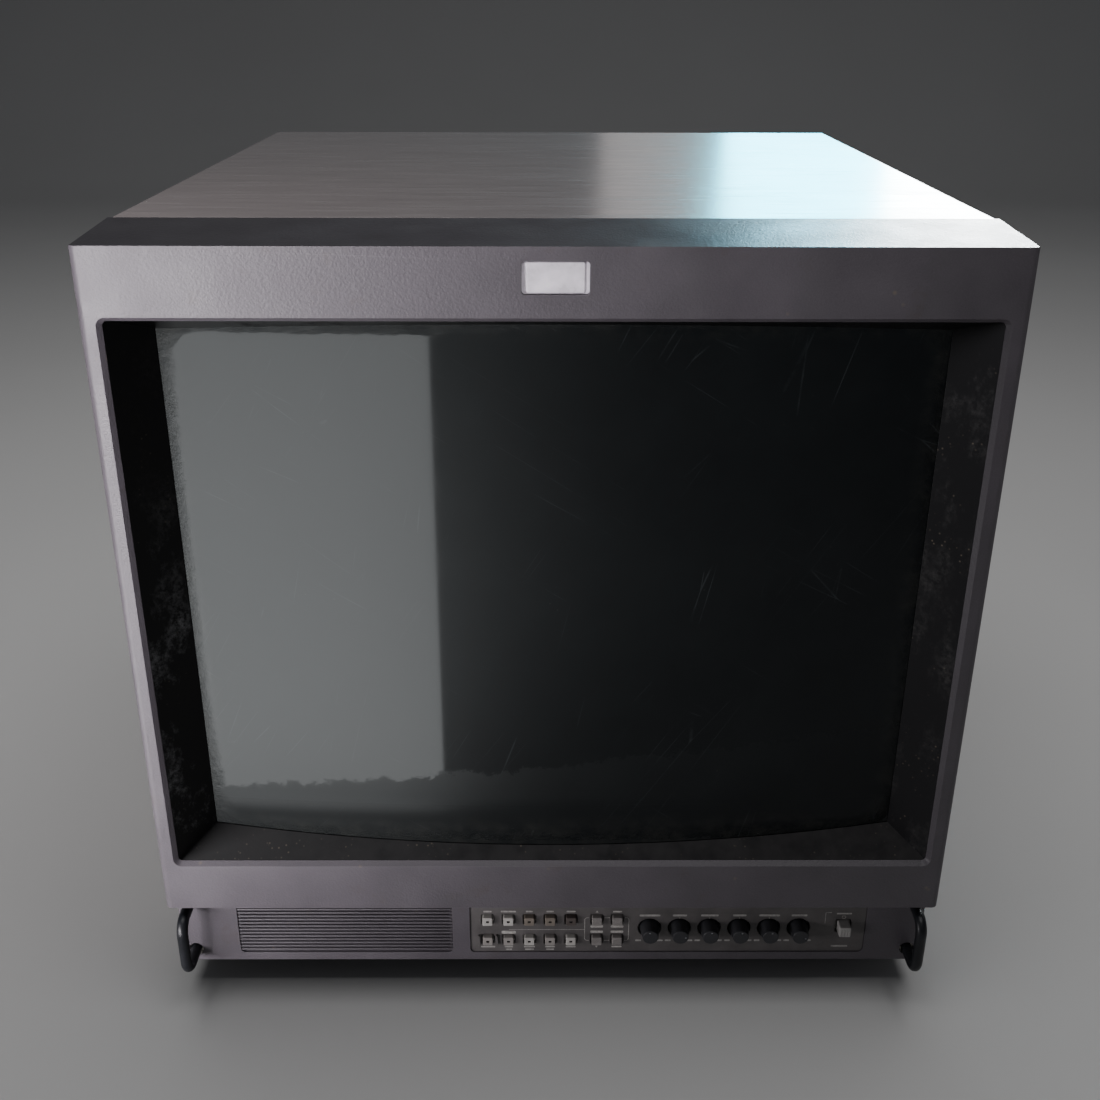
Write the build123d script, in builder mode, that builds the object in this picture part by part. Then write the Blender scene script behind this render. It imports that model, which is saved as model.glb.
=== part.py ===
from build123d import *
from math import radians, sin, cos, tan
import os

# A 20-inch broadcast picture monitor: a cathode ray tube in a steel cabinet, with a deep front bezel,
# a tally lamp, a control panel set back below the bezel, and two rod handles.
# Frame: millimetres, +X to the viewer's right, +Y from the screen to the back, +Z up.
# The origin is on the table, at the middle of the whole object's width and depth.
# "Depth" below means behind the bezel's front face, and "height" means above the bezel's lower edge.

os.makedirs("parts", exist_ok=True)

# ---------------------------------------------------------------- driving dimensions
WIDTH = 450.0
COVER_W = WIDTH - 2.0  # the steel cover is a little narrower than the bezel
OVERALL_DEPTH = 503.0
BEZEL_H = 380.5
BEZEL_DEPTH = 59.3
TOP_RISE = 3.4  # the bezel's top climbs this much to the cabinet's flat top
CABINET_DEPTH = 490.0
PANEL_DEPTH = 16.0  # the control panel is set back this far
PANEL_DROP = 53.1  # and hangs this far below the bezel
FOOT_H = 21.0
WALL = 3.0
GAP = 0.3  # running gap between neighbouring covers
SHEET = 1.2

ROD_R = 3.25
HANDLE_X = 216.0
HANDLE_DEPTH = -4.0  # the bar stands this far in front of the bezel's face
HANDLE_TOP = -9.2
HANDLE_BOTTOM = -44.2
HANDLE_BEND = 8.0

OPENING_W, OPENING_H, OPENING_MID = 433.0, 317.4, 188.3
LIP = 2.2  # the opening's chamfer narrows it by this much on each side
SCREEN_W, SCREEN_H, SCREEN_MID = 388.6, 291.2, 192.0  # where the mask meets the glass
SCREEN_DEPTH = 20.0
TUBE_W, TUBE_H, TUBE_BACK = 414.0, 316.0, 78.0
GLASS_DEPTH = 10.0  # the glass's foremost point
GLASS_R = 1887.0  # the face is part of an upright cylinder
YOKE_DEPTH = 262.0  # where the funnel has narrowed to the neck
NECK_R = 14.6
NECK_END = 408.0

PLATE_MIN_X, PLATE_MAX_X = -49.5, 189.3
GRILLE_MIN_X, GRILLE_MAX_X = -188.9, -60.0
WINDOW_LOW, WINDOW_HIGH = -47.0, -6.0
PLATE_DEPTH = 16.8  # the label plate's front face
BUTTON_W, BUTTON_H, BUTTON_PROUD, BUTTON_TRAVEL = 6.0, 5.8, 2.6, 1.0
BUTTON_PITCH = 12.55
BUTTON_X0 = -38.8
BUTTON_ROWS = (-22.6, -37.5)
MENU_X = (27.0, 39.3)
KNOB_X = tuple(58.9 + 18.0 * i for i in range(6))
KNOB_HEIGHT = -29.2
KNOB_FRONT, KNOB_BACK = 8.0, 19.4
SHAFT_R = 3.0
POWER_X, POWER_HEIGHT = 175.8, -27.6
POWER_SIZE, POWER_FRONT, POWER_TRAVEL = 7.0, 10.5, 3.0

CONNECTOR_DEPTH = 482.0
CONNECTOR_W, CONNECTOR_H, CONNECTOR_MID = 340.0, 74.0, 10.0
FOOT_X, FOOT_DEPTHS = 185.0, (78.0, 440.0)

# ---------------------------------------------------------------- derived places
FACE_Y = ROD_R - HANDLE_DEPTH - OVERALL_DEPTH / 2
RIM_Z = FOOT_H + PANEL_DROP
REAR_END = OVERALL_DEPTH / 2 - FACE_Y  # depth of the rearmost point
TOP = BEZEL_H + TOP_RISE


def front(depth, x=0.0, height=0.0):
    """A plane facing the viewer; extruding by a negative amount goes backwards."""
    origin = (x, FACE_Y + depth, RIM_Z + height)
    return Plane(origin=origin, x_dir=(1, 0, 0), z_dir=(0, -1, 0))


def level(height, x=0.0, depth=0.0):
    """A level plane; extruding by a positive amount goes up, and its own y runs backwards."""
    return Plane(origin=(x, FACE_Y + depth, RIM_Z + height), x_dir=(1, 0, 0), z_dir=(0, 0, 1))


def side(x, depth=0.0, height=0.0):
    """A plane across the width, facing +X; its own x is depth and its own y is height."""
    return Plane(origin=(x, FACE_Y + depth, RIM_Z + height), x_dir=(0, 1, 0), z_dir=(1, 0, 0))


def lengthwise(x, height):
    """An axis that runs from front to back."""
    return Axis((x, FACE_Y, RIM_Z + height), (0, 1, 0))


def save(builder, name):
    """Labels a finished sub-part and writes it to its own file."""
    builder.part.label = name
    export_step(builder.part, f"parts/{name}.step")


# ================================================================ front bezel and screen surround
boss_places = [(sx * 210.0, z) for sx in (-1, 1) for z in (13.5, 364.5)]
EAR_DEPTH = 40.0
TALLY_X, TALLY_HEIGHT = 0.3, 365.8
TALLY_W, TALLY_H = 32.0, 15.6

with BuildPart() as bezel:
    with BuildSketch(side(0)):
        with BuildLine():
            Polyline((0, 0), (0, BEZEL_H), (BEZEL_DEPTH, TOP), (BEZEL_DEPTH, 0), close=True)
        make_face()
    extrude(amount=WIDTH / 2, both=True)
    roof = bezel.faces().sort_by(Axis.Z)[-1]
    chamfer(roof.edges().filter_by(Axis.X, reverse=True), length=1.0)
    fillet(bezel.edges().filter_by(Axis.Z).group_by(Axis.Y)[0], radius=4.0)
    with BuildSketch(side(0)):
        with BuildLine():
            Polyline(
                (WALL, WALL),
                (WALL, BEZEL_H - WALL),
                (BEZEL_DEPTH, TOP - WALL),
                (BEZEL_DEPTH, WALL),
                close=True,
            )
        make_face()
    extrude(amount=WIDTH / 2 - WALL, both=True, mode=Mode.SUBTRACT)
    with BuildSketch(front(0, height=OPENING_MID)):
        RectangleRounded(OPENING_W, OPENING_H, 4.6)
    extrude(amount=-WALL, taper=36.2, mode=Mode.SUBTRACT)
    with BuildSketch(front(0, TALLY_X, TALLY_HEIGHT)):
        RectangleRounded(TALLY_W, TALLY_H, 1.6)
    extrude(amount=-WALL, mode=Mode.SUBTRACT)
    # posts that carry the tube's ears
    with BuildSketch(front(WALL)):
        with Locations(*boss_places):
            Circle(6.0)
    extrude(amount=-(EAR_DEPTH - WALL))
    with BuildSketch(front(EAR_DEPTH)):
        with Locations(*boss_places):
            Circle(2.1)
    extrude(amount=25, mode=Mode.SUBTRACT)
    # ribs that join each post to the bezel's floor or roof
    for post_x, post_z in boss_places:
        rib_h = 7.0 if post_z < SCREEN_MID else TOP - WALL - post_z - 5.0
        rib_mid = WALL + rib_h / 2 - 0.5 if post_z < SCREEN_MID else post_z + 4.5 + rib_h / 2
        with BuildSketch(front(WALL, post_x, rib_mid)):
            Rectangle(2.0, rib_h)
        extrude(amount=-(EAR_DEPTH - WALL - 10))
    # two slots in the floor for the control wiring
    with BuildSketch(level(0, depth=42)):
        with Locations((-90, 0), (90, 0)):
            SlotOverall(60, 12)
    extrude(amount=WALL, mode=Mode.SUBTRACT)
save(bezel, "front_bezel")


def curved_block(half_w, half_h, nose, end):
    """A solid whose front is part of the tube's upright cylinder; nose is its foremost depth."""
    sag = half_w * half_w / (2 * GLASS_R)
    with BuildPart() as block:
        with BuildSketch(level(SCREEN_MID - half_h)):
            with BuildLine():
                ThreePointArc((-half_w, nose + sag), (0, nose), (half_w, nose + sag))
                Polyline((half_w, nose + sag), (half_w, end), (-half_w, end), (-half_w, nose + sag))
            make_face()
        extrude(amount=2 * half_h)
    return block.part


# the room that the tube takes up, with a little to spare, so that the mask ends just clear of it
tube_room = curved_block(TUBE_W / 2 + 0.4, TUBE_H / 2 + 0.4, GLASS_DEPTH - 0.4, TUBE_BACK)

MASK_FRONT = WALL + 0.1
MASK_T = 2.2
mask_w, mask_h = OPENING_W - 2 * LIP, OPENING_H - 2 * LIP

with BuildPart() as mask:
    with BuildSketch(front(MASK_FRONT, height=OPENING_MID)):
        RectangleRounded(mask_w + 12, mask_h + 10, 6)
    extrude(amount=-2.4)
    # the funnel's outside, then its inside
    for grow, mode in ((MASK_T, Mode.ADD), (0.0, Mode.SUBTRACT)):
        with BuildSketch(front(MASK_FRONT, height=OPENING_MID)):
            Rectangle(mask_w + 2 * grow, mask_h + 2 * grow)
        with BuildSketch(front(SCREEN_DEPTH + 2.5, height=SCREEN_MID + 0.3)):
            Rectangle(SCREEN_W - 5.2 + 2 * grow, SCREEN_H - 4.2 + 2 * grow)
        loft(mode=mode)
    add(tube_room, mode=Mode.SUBTRACT)
save(mask, "screen_mask")

# ================================================================ tally lamp
LENS_W = 27.8
with BuildPart() as tally_lens:
    with BuildSketch(front(1.6, TALLY_X, TALLY_HEIGHT)):
        RectangleRounded(LENS_W, TALLY_H - 0.8, 1.2)
    extrude(amount=-6.0)
    fillet(tally_lens.faces().sort_by(Axis.Y)[0].edges(), radius=0.7)
    with BuildSketch(front(WALL + 0.1, TALLY_X, TALLY_HEIGHT)):
        Rectangle(TALLY_W + 6, TALLY_H + 4)
    extrude(amount=-1.5)
    with BuildSketch(front(7.6, TALLY_X, TALLY_HEIGHT)):
        Rectangle(LENS_W - 3, TALLY_H - 4)
    extrude(amount=4.0, mode=Mode.SUBTRACT)
save(tally_lens, "tally_lens")

with BuildPart() as tally_board:
    with BuildSketch(front(13.0, TALLY_X, TALLY_HEIGHT)):
        Rectangle(LENS_W + 6, TALLY_H - 2)
    extrude(amount=-1.6)
    with BuildSketch(front(13.0, TALLY_X, TALLY_HEIGHT)):
        with GridLocations(9.0, 0, 3, 1):
            Circle(2.5)
    extrude(amount=4.6)
    fillet(tally_board.faces().sort_by(Axis.Y)[0:3].edges(), radius=1.6)
save(tally_board, "tally_lamp_board")

# ================================================================ control panel
panel_back = BEZEL_DEPTH - GAP
window_h = WINDOW_HIGH - WINDOW_LOW
window_mid = (WINDOW_HIGH + WINDOW_LOW) / 2
grille_mid, grille_w = (GRILLE_MIN_X + GRILLE_MAX_X) / 2, GRILLE_MAX_X - GRILLE_MIN_X
plate_mid, plate_w = (PLATE_MIN_X + PLATE_MAX_X) / 2, PLATE_MAX_X - PLATE_MIN_X
PANEL_T = 2.5
panel_w = WIDTH - 2.2
handle_places = [(sx * HANDLE_X, z) for sx in (-1, 1) for z in (HANDLE_TOP, HANDLE_BOTTOM)]

with BuildPart() as fascia:
    with BuildSketch(front(PANEL_DEPTH, height=-(PANEL_DROP + GAP) / 2)):
        Rectangle(panel_w, PANEL_DROP - GAP)
    extrude(amount=-(panel_back - PANEL_DEPTH))
    fillet(fascia.edges().filter_by(Axis.Z).group_by(Axis.Y)[0], radius=1.5)
    fillet(fascia.faces().sort_by(Axis.Y)[0].edges().sort_by(Axis.Z)[0], radius=1.2)
    # hollow behind the front wall, open at the top and the back
    with BuildSketch(front(PANEL_DEPTH + PANEL_T, height=-(PANEL_DROP - PANEL_T) / 2 + 1)):
        Rectangle(panel_w - 2 * PANEL_T, PANEL_DROP - PANEL_T + 2)
    extrude(amount=-CABINET_DEPTH, mode=Mode.SUBTRACT)
    with BuildSketch(front(PANEL_DEPTH)):
        with Locations((grille_mid, window_mid)):
            RectangleRounded(grille_w, window_h, 3)
        with Locations((plate_mid, window_mid)):
            RectangleRounded(plate_w, window_h, 3)
        with Locations(*handle_places):
            Circle(4.4)
    extrude(amount=-PANEL_T, mode=Mode.SUBTRACT)
save(fascia, "control_fascia")

# ---------------------------------------------------------------- speaker behind its slotted grille
GRILLE_DEPTH = 17.4  # the valleys between the bars' rounded fronts
SLOT_PITCH, SLOT_W, SLOTS = 2.5, 0.8, 15
BAR_R = 0.95
flange_front = PANEL_DEPTH + PANEL_T + 0.1

with BuildPart() as grille:
    with BuildSketch(side(grille_mid, GRILLE_DEPTH, window_mid)):
        with Locations(((flange_front + 1.4 - GRILLE_DEPTH) / 2, 0)):
            Rectangle(flange_front + 1.4 - GRILLE_DEPTH, window_h)
        with GridLocations(0, SLOT_PITCH, 1, SLOTS + 1):
            Circle(BAR_R)
    extrude(amount=grille_w / 2, both=True)
    with BuildSketch(front(GRILLE_DEPTH - 2, grille_mid, window_mid)):
        RectangleRounded(grille_w - 0.3, window_h - 0.3, 2.85)
    extrude(amount=-6, mode=Mode.INTERSECT)
    with BuildSketch(front(flange_front, grille_mid, window_mid)):
        RectangleRounded(grille_w + 6, window_h + 3, 4)
    extrude(amount=-1.4)
    with BuildSketch(front(GRILLE_DEPTH - 2, grille_mid, window_mid)):
        with GridLocations(0, SLOT_PITCH, 1, SLOTS):
            Rectangle(grille_w - 3.2, SLOT_W)
    extrude(amount=-6, mode=Mode.SUBTRACT)
    # two upright ribs behind the bars
    with BuildSketch(front(flange_front + 1.4, grille_mid, window_mid)):
        with GridLocations(grille_w / 3, 0, 2, 1):
            Rectangle(1.6, window_h)
    extrude(amount=-1.2)
save(grille, "speaker_grille")

cloth_front = flange_front + 1.4 + 1.3
with BuildPart() as cloth:
    with BuildSketch(front(cloth_front, grille_mid, window_mid)):
        RectangleRounded(grille_w + 2, window_h, 4)
    extrude(amount=-0.6)
save(cloth, "grille_cloth")

speaker_front = cloth_front + 0.7
with BuildPart() as speaker:
    with BuildSketch(front(speaker_front, grille_mid, window_mid)):
        RectangleRounded(112, 40, 6)
        Ellipse(49, 17, mode=Mode.SUBTRACT)
    extrude(amount=-1.5)
    # basket: a tapering elliptical shell, hollow inside
    with BuildSketch(front(speaker_front + 1.5, grille_mid, window_mid)):
        Ellipse(51, 19)
    with BuildSketch(front(speaker_front + 14, grille_mid, window_mid)):
        Ellipse(19, 15)
    loft()
    with BuildSketch(front(speaker_front, grille_mid, window_mid)):
        Ellipse(49, 17)
    with BuildSketch(front(speaker_front + 12.6, grille_mid, window_mid)):
        Ellipse(17, 13)
    loft(mode=Mode.SUBTRACT)
    with BuildSketch(front(speaker_front + 14, grille_mid, window_mid)):
        Circle(17)
    extrude(amount=-9)
    chamfer(speaker.faces().sort_by(Axis.Y)[-1].edges(), length=1)
save(speaker, "speaker")

# ---------------------------------------------------------------- label plate with its holes
button_places = [(BUTTON_X0 + BUTTON_PITCH * i, row) for row in BUTTON_ROWS for i in range(5)]
menu_places = [(x, row) for row in BUTTON_ROWS for x in MENU_X]
knob_places = [(x, KNOB_HEIGHT) for x in KNOB_X]
plate_back = flange_front + 1.5
DEGAUSS = button_places[5]

with BuildPart() as plate:
    with BuildSketch(front(PLATE_DEPTH, plate_mid, window_mid)):
        RectangleRounded(plate_w - 0.3, window_h - 0.3, 2.85)
    extrude(amount=-(plate_back - PLATE_DEPTH))
    with BuildSketch(front(flange_front, plate_mid, window_mid)):
        RectangleRounded(plate_w + 5, window_h + 3, 4)
    extrude(amount=-(plate_back - flange_front))
    with BuildSketch(front(PLATE_DEPTH)):
        with Locations(*button_places, *menu_places):
            RectangleRounded(BUTTON_W + 1.5, BUTTON_H + 1.5, 1.0)
        with Locations(*knob_places):
            Circle(6.9)
        with Locations((POWER_X, POWER_HEIGHT)):
            RectangleRounded(POWER_SIZE + 2.4, POWER_SIZE + 2.4, 1.2)
    extrude(amount=-6, mode=Mode.SUBTRACT)
    rims = plate.faces().sort_by(Axis.Y)[0].inner_wires().edges()
    chamfer(rims, length=0.35)
    # two small ribs guard the degauss button from being pressed by accident
    with BuildSketch(front(PLATE_DEPTH + 0.5, *DEGAUSS)):
        with GridLocations(BUTTON_W + 4.6, 0, 2, 1):
            RectangleRounded(1.5, 7.4, 0.6)
    extrude(amount=2.6)
save(plate, "label_plate")

# ---------------------------------------------------------------- push buttons
BUTTON_NAMES = (
    "input_button_1",
    "input_button_2",
    "input_button_3",
    "input_button_4",
    "input_button_5",
    "degauss_button",
    "blue_only_button",
    "underscan_button",
    "delay_button",
    "aspect_button",
    "menu_up_button",
    "menu_button",
    "menu_down_button",
    "enter_button",
)
button_front = PLATE_DEPTH - BUTTON_PROUD
button_stop = plate_back + 0.1  # a collar behind the plate keeps the cap in
STEM_END = button_stop + 1.9


def make_button(x, height, window):
    """A moulded cap with a retaining collar and a stem; it has a small lamp window, or fine ridges."""
    with BuildPart() as cap:
        with BuildSketch(front(button_front, x, height)):
            RectangleRounded(BUTTON_W, BUTTON_H, 0.7)
        extrude(amount=-(button_stop - button_front))
        fillet(cap.faces().sort_by(Axis.Y)[0].edges(), radius=0.45)
        with BuildSketch(front(button_front, x, height)):
            if window:
                Rectangle(1.9, 1.5)
            else:
                with GridLocations(0, 1.1, 1, 5):
                    Rectangle(BUTTON_W, 0.35)
        extrude(amount=-0.6 if window else -0.25, mode=Mode.SUBTRACT)
        with BuildSketch(front(button_stop, x, height)):
            RectangleRounded(BUTTON_W + 3.2, BUTTON_H + 3.2, 1.0)
        extrude(amount=-0.9)
        with BuildSketch(front(button_stop + 0.9, x, height)):
            Circle(1.5)
        extrude(amount=-1.0)
    return cap


for i, (name, place) in enumerate(zip(BUTTON_NAMES, button_places + menu_places)):
    save(make_button(*place, window=i < len(button_places)), name)

switch_top = STEM_END + BUTTON_TRAVEL + 0.2
switch_body = switch_top + 0.7
board_front = switch_body + 3.4

with BuildPart() as button_board:
    with BuildSketch(front(board_front, -0.2, -28.4)):
        Rectangle(92, 36)
    extrude(amount=-1.6)
    with BuildSketch(front(board_front)):
        with Locations(*button_places, *menu_places):
            Rectangle(6.0, 6.0)
    extrude(amount=board_front - switch_body)
    with BuildSketch(front(switch_body)):
        with Locations(*button_places, *menu_places):
            Circle(1.7)
    extrude(amount=switch_body - switch_top)
save(button_board, "button_board")

# ---------------------------------------------------------------- knobs on their potentiometers
KNOB_NAMES = (
    "aperture_knob",
    "bright_knob",
    "chroma_knob",
    "phase_knob",
    "contrast_knob",
    "volume_knob",
)
KNOB_TURN = (-10.0, 95.0, 10.0, 15.0, 15.0, 110.0)  # the pointer, clockwise from the top
POT_FRONT = 23.0


def make_knob(x, turn):
    """A tapering knob with a pointer dimple, and the potentiometer shaft it is pressed on."""
    with BuildPart() as knob:
        with BuildSketch(level(KNOB_HEIGHT, x)):
            with BuildLine():
                Polyline(
                    (0, KNOB_FRONT),
                    (4.7, KNOB_FRONT),
                    (5.85, PLATE_DEPTH),
                    (5.9, KNOB_BACK),
                    (0, KNOB_BACK),
                    close=True,
                )
            make_face()
        revolve(axis=lengthwise(x, KNOB_HEIGHT))
        fillet(knob.faces().sort_by(Axis.Y)[0].edges(), radius=0.5)
        dot = (3.1 * sin(radians(turn)), 3.1 * cos(radians(turn)))
        with BuildSketch(front(KNOB_FRONT, x, KNOB_HEIGHT)):
            with Locations(dot):
                Circle(0.65)
        extrude(amount=-0.4, mode=Mode.SUBTRACT)
        with BuildSketch(front(KNOB_FRONT + 3.0, x, KNOB_HEIGHT)):
            Circle(SHAFT_R + 0.02)
        extrude(amount=-20, mode=Mode.SUBTRACT)
        with BuildSketch(front(KNOB_FRONT + 3.2, x, KNOB_HEIGHT)):
            Circle(SHAFT_R)
        extrude(amount=-(POT_FRONT + 4.0 - KNOB_FRONT - 3.2))
    return knob


for x, name, turn in zip(KNOB_X, KNOB_NAMES, KNOB_TURN):
    save(make_knob(x, turn), name)

with BuildPart() as pots:
    with BuildSketch(front(POT_FRONT)):
        with Locations(*knob_places):
            RectangleRounded(13.0, 14.0, 1.0)
    extrude(amount=-8.0)
    with BuildSketch(front(POT_FRONT)):
        with Locations(*knob_places):
            Circle(4.5)
    extrude(amount=2.0)
    with BuildSketch(front(POT_FRONT - 2.0)):
        with Locations(*knob_places):
            Circle(SHAFT_R + 0.08)
    extrude(amount=-6.5, mode=Mode.SUBTRACT)
    with BuildSketch(front(POT_FRONT + 8.0, KNOB_X[2] + 9.0, KNOB_HEIGHT)):
        Rectangle(112, 34)
    extrude(amount=-1.6)
save(pots, "potentiometers")

# ---------------------------------------------------------------- mains switch
with BuildPart() as power_cap:
    with BuildSketch(front(POWER_FRONT, POWER_X, POWER_HEIGHT)):
        RectangleRounded(POWER_SIZE, POWER_SIZE, 0.8)
    extrude(amount=-(button_stop - POWER_FRONT))
    fillet(power_cap.faces().sort_by(Axis.Y)[0].edges(), radius=0.6)
    with BuildSketch(front(POWER_FRONT, POWER_X, POWER_HEIGHT)):
        with GridLocations(1.7, 0, 3, 1):
            Rectangle(0.5, POWER_SIZE - 2)
    extrude(amount=-0.3, mode=Mode.SUBTRACT)
    with BuildSketch(front(button_stop, POWER_X, POWER_HEIGHT)):
        Rectangle(POWER_SIZE + 4.6, POWER_SIZE + 4.6)
    extrude(amount=-1.2)
    with BuildSketch(front(button_stop + 1.2, POWER_X, POWER_HEIGHT)):
        Rectangle(3.0, 3.0)
    extrude(amount=-9.0)
save(power_cap, "power_button")

power_body_front = button_stop + 1.2 + POWER_TRAVEL + 0.4
with BuildPart() as power_switch:
    with BuildSketch(front(power_body_front, POWER_X, POWER_HEIGHT)):
        RectangleRounded(14, 13, 0.8)
    extrude(amount=-24)
    # the plunger's well
    with BuildSketch(front(power_body_front, POWER_X, POWER_HEIGHT)):
        Rectangle(3.4, 3.4)
    extrude(amount=-10.0, mode=Mode.SUBTRACT)
    with BuildSketch(front(power_body_front + 24, POWER_X, POWER_HEIGHT)):
        with GridLocations(7.5, 5.0, 2, 2):
            Rectangle(0.8, 2.4)
    extrude(amount=-5)
save(power_switch, "power_switch_body")

# ================================================================ rod handles
HANDLE_END = PANEL_DEPTH + PANEL_T
SCREW_DEPTH = 11.0


def make_handle(x):
    """A bent steel rod with a threaded hole in each end."""
    ends = (FACE_Y + HANDLE_END, FACE_Y + HANDLE_DEPTH)
    low, high = RIM_Z + HANDLE_BOTTOM, RIM_Z + HANDLE_TOP
    with BuildPart() as handle:
        with BuildLine():
            FilletPolyline(
                (x, ends[0], high),
                (x, ends[1], high),
                (x, ends[1], low),
                (x, ends[0], low),
                radius=HANDLE_BEND,
            )
        with BuildSketch(front(HANDLE_END, x, HANDLE_TOP)):
            Circle(ROD_R)
        sweep()
        with BuildSketch(front(HANDLE_END)):
            with Locations((x, HANDLE_TOP), (x, HANDLE_BOTTOM)):
                Circle(2.05)
        extrude(amount=SCREW_DEPTH, mode=Mode.SUBTRACT)
    return handle


save(make_handle(-HANDLE_X), "handle_left")
save(make_handle(HANDLE_X), "handle_right")

bracket_front = HANDLE_END + 0.1
with BuildPart() as brackets:
    with BuildSketch(front(bracket_front, height=-27.5)):
        with Locations((-HANDLE_X + 4, 0), (HANDLE_X - 4, 0)):
            RectangleRounded(18, 46, 2)
    extrude(amount=-2.0)
    with BuildSketch(front(bracket_front)):
        with Locations(*handle_places):
            Circle(2.2)
    extrude(amount=-3.0, mode=Mode.SUBTRACT)
save(brackets, "handle_brackets")

# ================================================================ cabinet
cover_front = BEZEL_DEPTH + GAP
cover_len = CABINET_DEPTH - cover_front
RAIL_DEPTHS, RAIL_HEIGHTS, RAIL_HOLE_R = (130.0, 410.0), (-35.0, 25.0), 2.75
SIDE_SCREWS = [(d, -44.0) for d in (75.0, 270.0, 470.0)]
rail_places = [(d, h) for d in RAIL_DEPTHS for h in RAIL_HEIGHTS]
foot_places = [(sx * FOOT_X, depth) for sx in (-1, 1) for depth in FOOT_DEPTHS]
side_height = TOP + PANEL_DROP

with BuildPart() as cover:
    with BuildSketch(front(cover_front, height=TOP - side_height / 2)):
        Rectangle(COVER_W, side_height)
    extrude(amount=-cover_len)
    fillet(cover.edges().filter_by(Axis.Y).group_by(Axis.Z)[-1], radius=3.0)
    with BuildSketch(front(cover_front, height=TOP - SHEET - side_height / 2)):
        Rectangle(COVER_W - 2 * SHEET, side_height)
    extrude(amount=-cover_len, mode=Mode.SUBTRACT)
    # three banks of cooling slots in each side
    for slot_height in (110.0, 185.0, 260.0):
        with BuildSketch(side(0, 330, slot_height)):
            with GridLocations(9.0, 0, 26, 1):
                SlotOverall(52, 3.4, rotation=90)
        extrude(amount=WIDTH, both=True, mode=Mode.SUBTRACT)
    with BuildSketch(side(0)):
        with Locations(*rail_places):
            Circle(RAIL_HOLE_R)
        with Locations(*SIDE_SCREWS):
            Circle(2.2)
    extrude(amount=WIDTH, both=True, mode=Mode.SUBTRACT)
save(cover, "cabinet_cover")

TRAY_T = 1.5
tray_w = COVER_W - 2 * (SHEET + GAP)
tray_front, tray_end = BEZEL_DEPTH + 1.0, CABINET_DEPTH - 5.0
with BuildPart() as tray:
    with BuildSketch(level(-PANEL_DROP, depth=(tray_front + tray_end) / 2)):
        Rectangle(tray_w, tray_end - tray_front)
    extrude(amount=98.0)
    with BuildSketch(level(-PANEL_DROP + TRAY_T, depth=(tray_front + tray_end) / 2 + TRAY_T)):
        Rectangle(tray_w - 2 * TRAY_T, tray_end - tray_front)
    extrude(amount=120.0, mode=Mode.SUBTRACT)
    # only a low lip is left of the front wall, so that the tube and the control wiring clear it
    with BuildSketch(front(tray_front, height=10)):
        Rectangle(tray_w - 2 * TRAY_T, 110)
    extrude(amount=-TRAY_T, mode=Mode.SUBTRACT)
    with BuildSketch(level(-PANEL_DROP)):
        with Locations(*foot_places):
            Circle(2.6)
        with Locations((0, 250)):
            with GridLocations(10.0, 90.0, 24, 2):
                SlotOverall(60, 4.0, rotation=90)
    extrude(amount=TRAY_T, mode=Mode.SUBTRACT)
    with BuildSketch(side(0)):
        with Locations(*rail_places):
            Circle(RAIL_HOLE_R)
        with Locations(*SIDE_SCREWS):
            Circle(1.7)
    extrude(amount=WIDTH, both=True, mode=Mode.SUBTRACT)
save(tray, "base_tray")

REAR_DEPTH, REAR_T = 486.0, 2.2
rear_w, rear_h = tray_w, side_height - SHEET - 2 * GAP
rear_mid = TOP - SHEET - GAP - rear_h / 2
rear_screw_places = [(sx * 214.0, z) for sx in (-1, 1) for z in (-40.0, 110.0, 240.0, 370.0)]
with BuildPart() as back:
    with BuildSketch(front(REAR_DEPTH, height=rear_mid)):
        RectangleRounded(rear_w, rear_h, 2.0)
    extrude(amount=-REAR_T)
    # a raised frame stiffens the edge
    with BuildSketch(front(REAR_DEPTH + REAR_T, height=rear_mid)):
        RectangleRounded(rear_w - 4, rear_h - 4, 2.0)
        RectangleRounded(rear_w - 9, rear_h - 9, 2.0, mode=Mode.SUBTRACT)
    extrude(amount=-1.0)
    with BuildSketch(front(REAR_DEPTH)):
        with Locations((0, CONNECTOR_MID)):
            RectangleRounded(CONNECTOR_W, CONNECTOR_H, 3)
        for vent_height in (105.0, 165.0, 225.0, 285.0, 345.0):
            with Locations((0, vent_height)):
                with GridLocations(9.0, 0, 39, 1):
                    SlotOverall(46, 3.6, rotation=90)
        with Locations(*rear_screw_places):
            Circle(2.2)
    extrude(amount=-6, mode=Mode.SUBTRACT)
save(back, "rear_cover")

# ---------------------------------------------------------------- screws that close the cabinet
with BuildPart() as cabinet_screws:
    for sign in (-1, 1):
        seat = side(sign * (COVER_W / 2 + 0.05))
        with BuildSketch(seat):
            with Locations(*SIDE_SCREWS):
                Circle(3.9)
        extrude(amount=sign * 0.9)
        with BuildSketch(seat):
            with Locations(*SIDE_SCREWS):
                Circle(1.6)
        extrude(amount=-sign * 7.0)
    with BuildSketch(front(REAR_DEPTH + REAR_T + 0.05)):
        with Locations(*rear_screw_places):
            Circle(3.8)
    extrude(amount=-1.6)
    with BuildSketch(front(REAR_DEPTH + REAR_T + 0.05)):
        with Locations(*rear_screw_places):
            Circle(2.0)
    extrude(amount=8.0)
    with BuildSketch(front(REAR_DEPTH + REAR_T + 1.65)):
        with Locations(*rear_screw_places):
            Rectangle(4.4, 0.9)
            Rectangle(0.9, 4.4)
    extrude(amount=0.9, mode=Mode.SUBTRACT)
save(cabinet_screws, "cabinet_screws")

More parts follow.
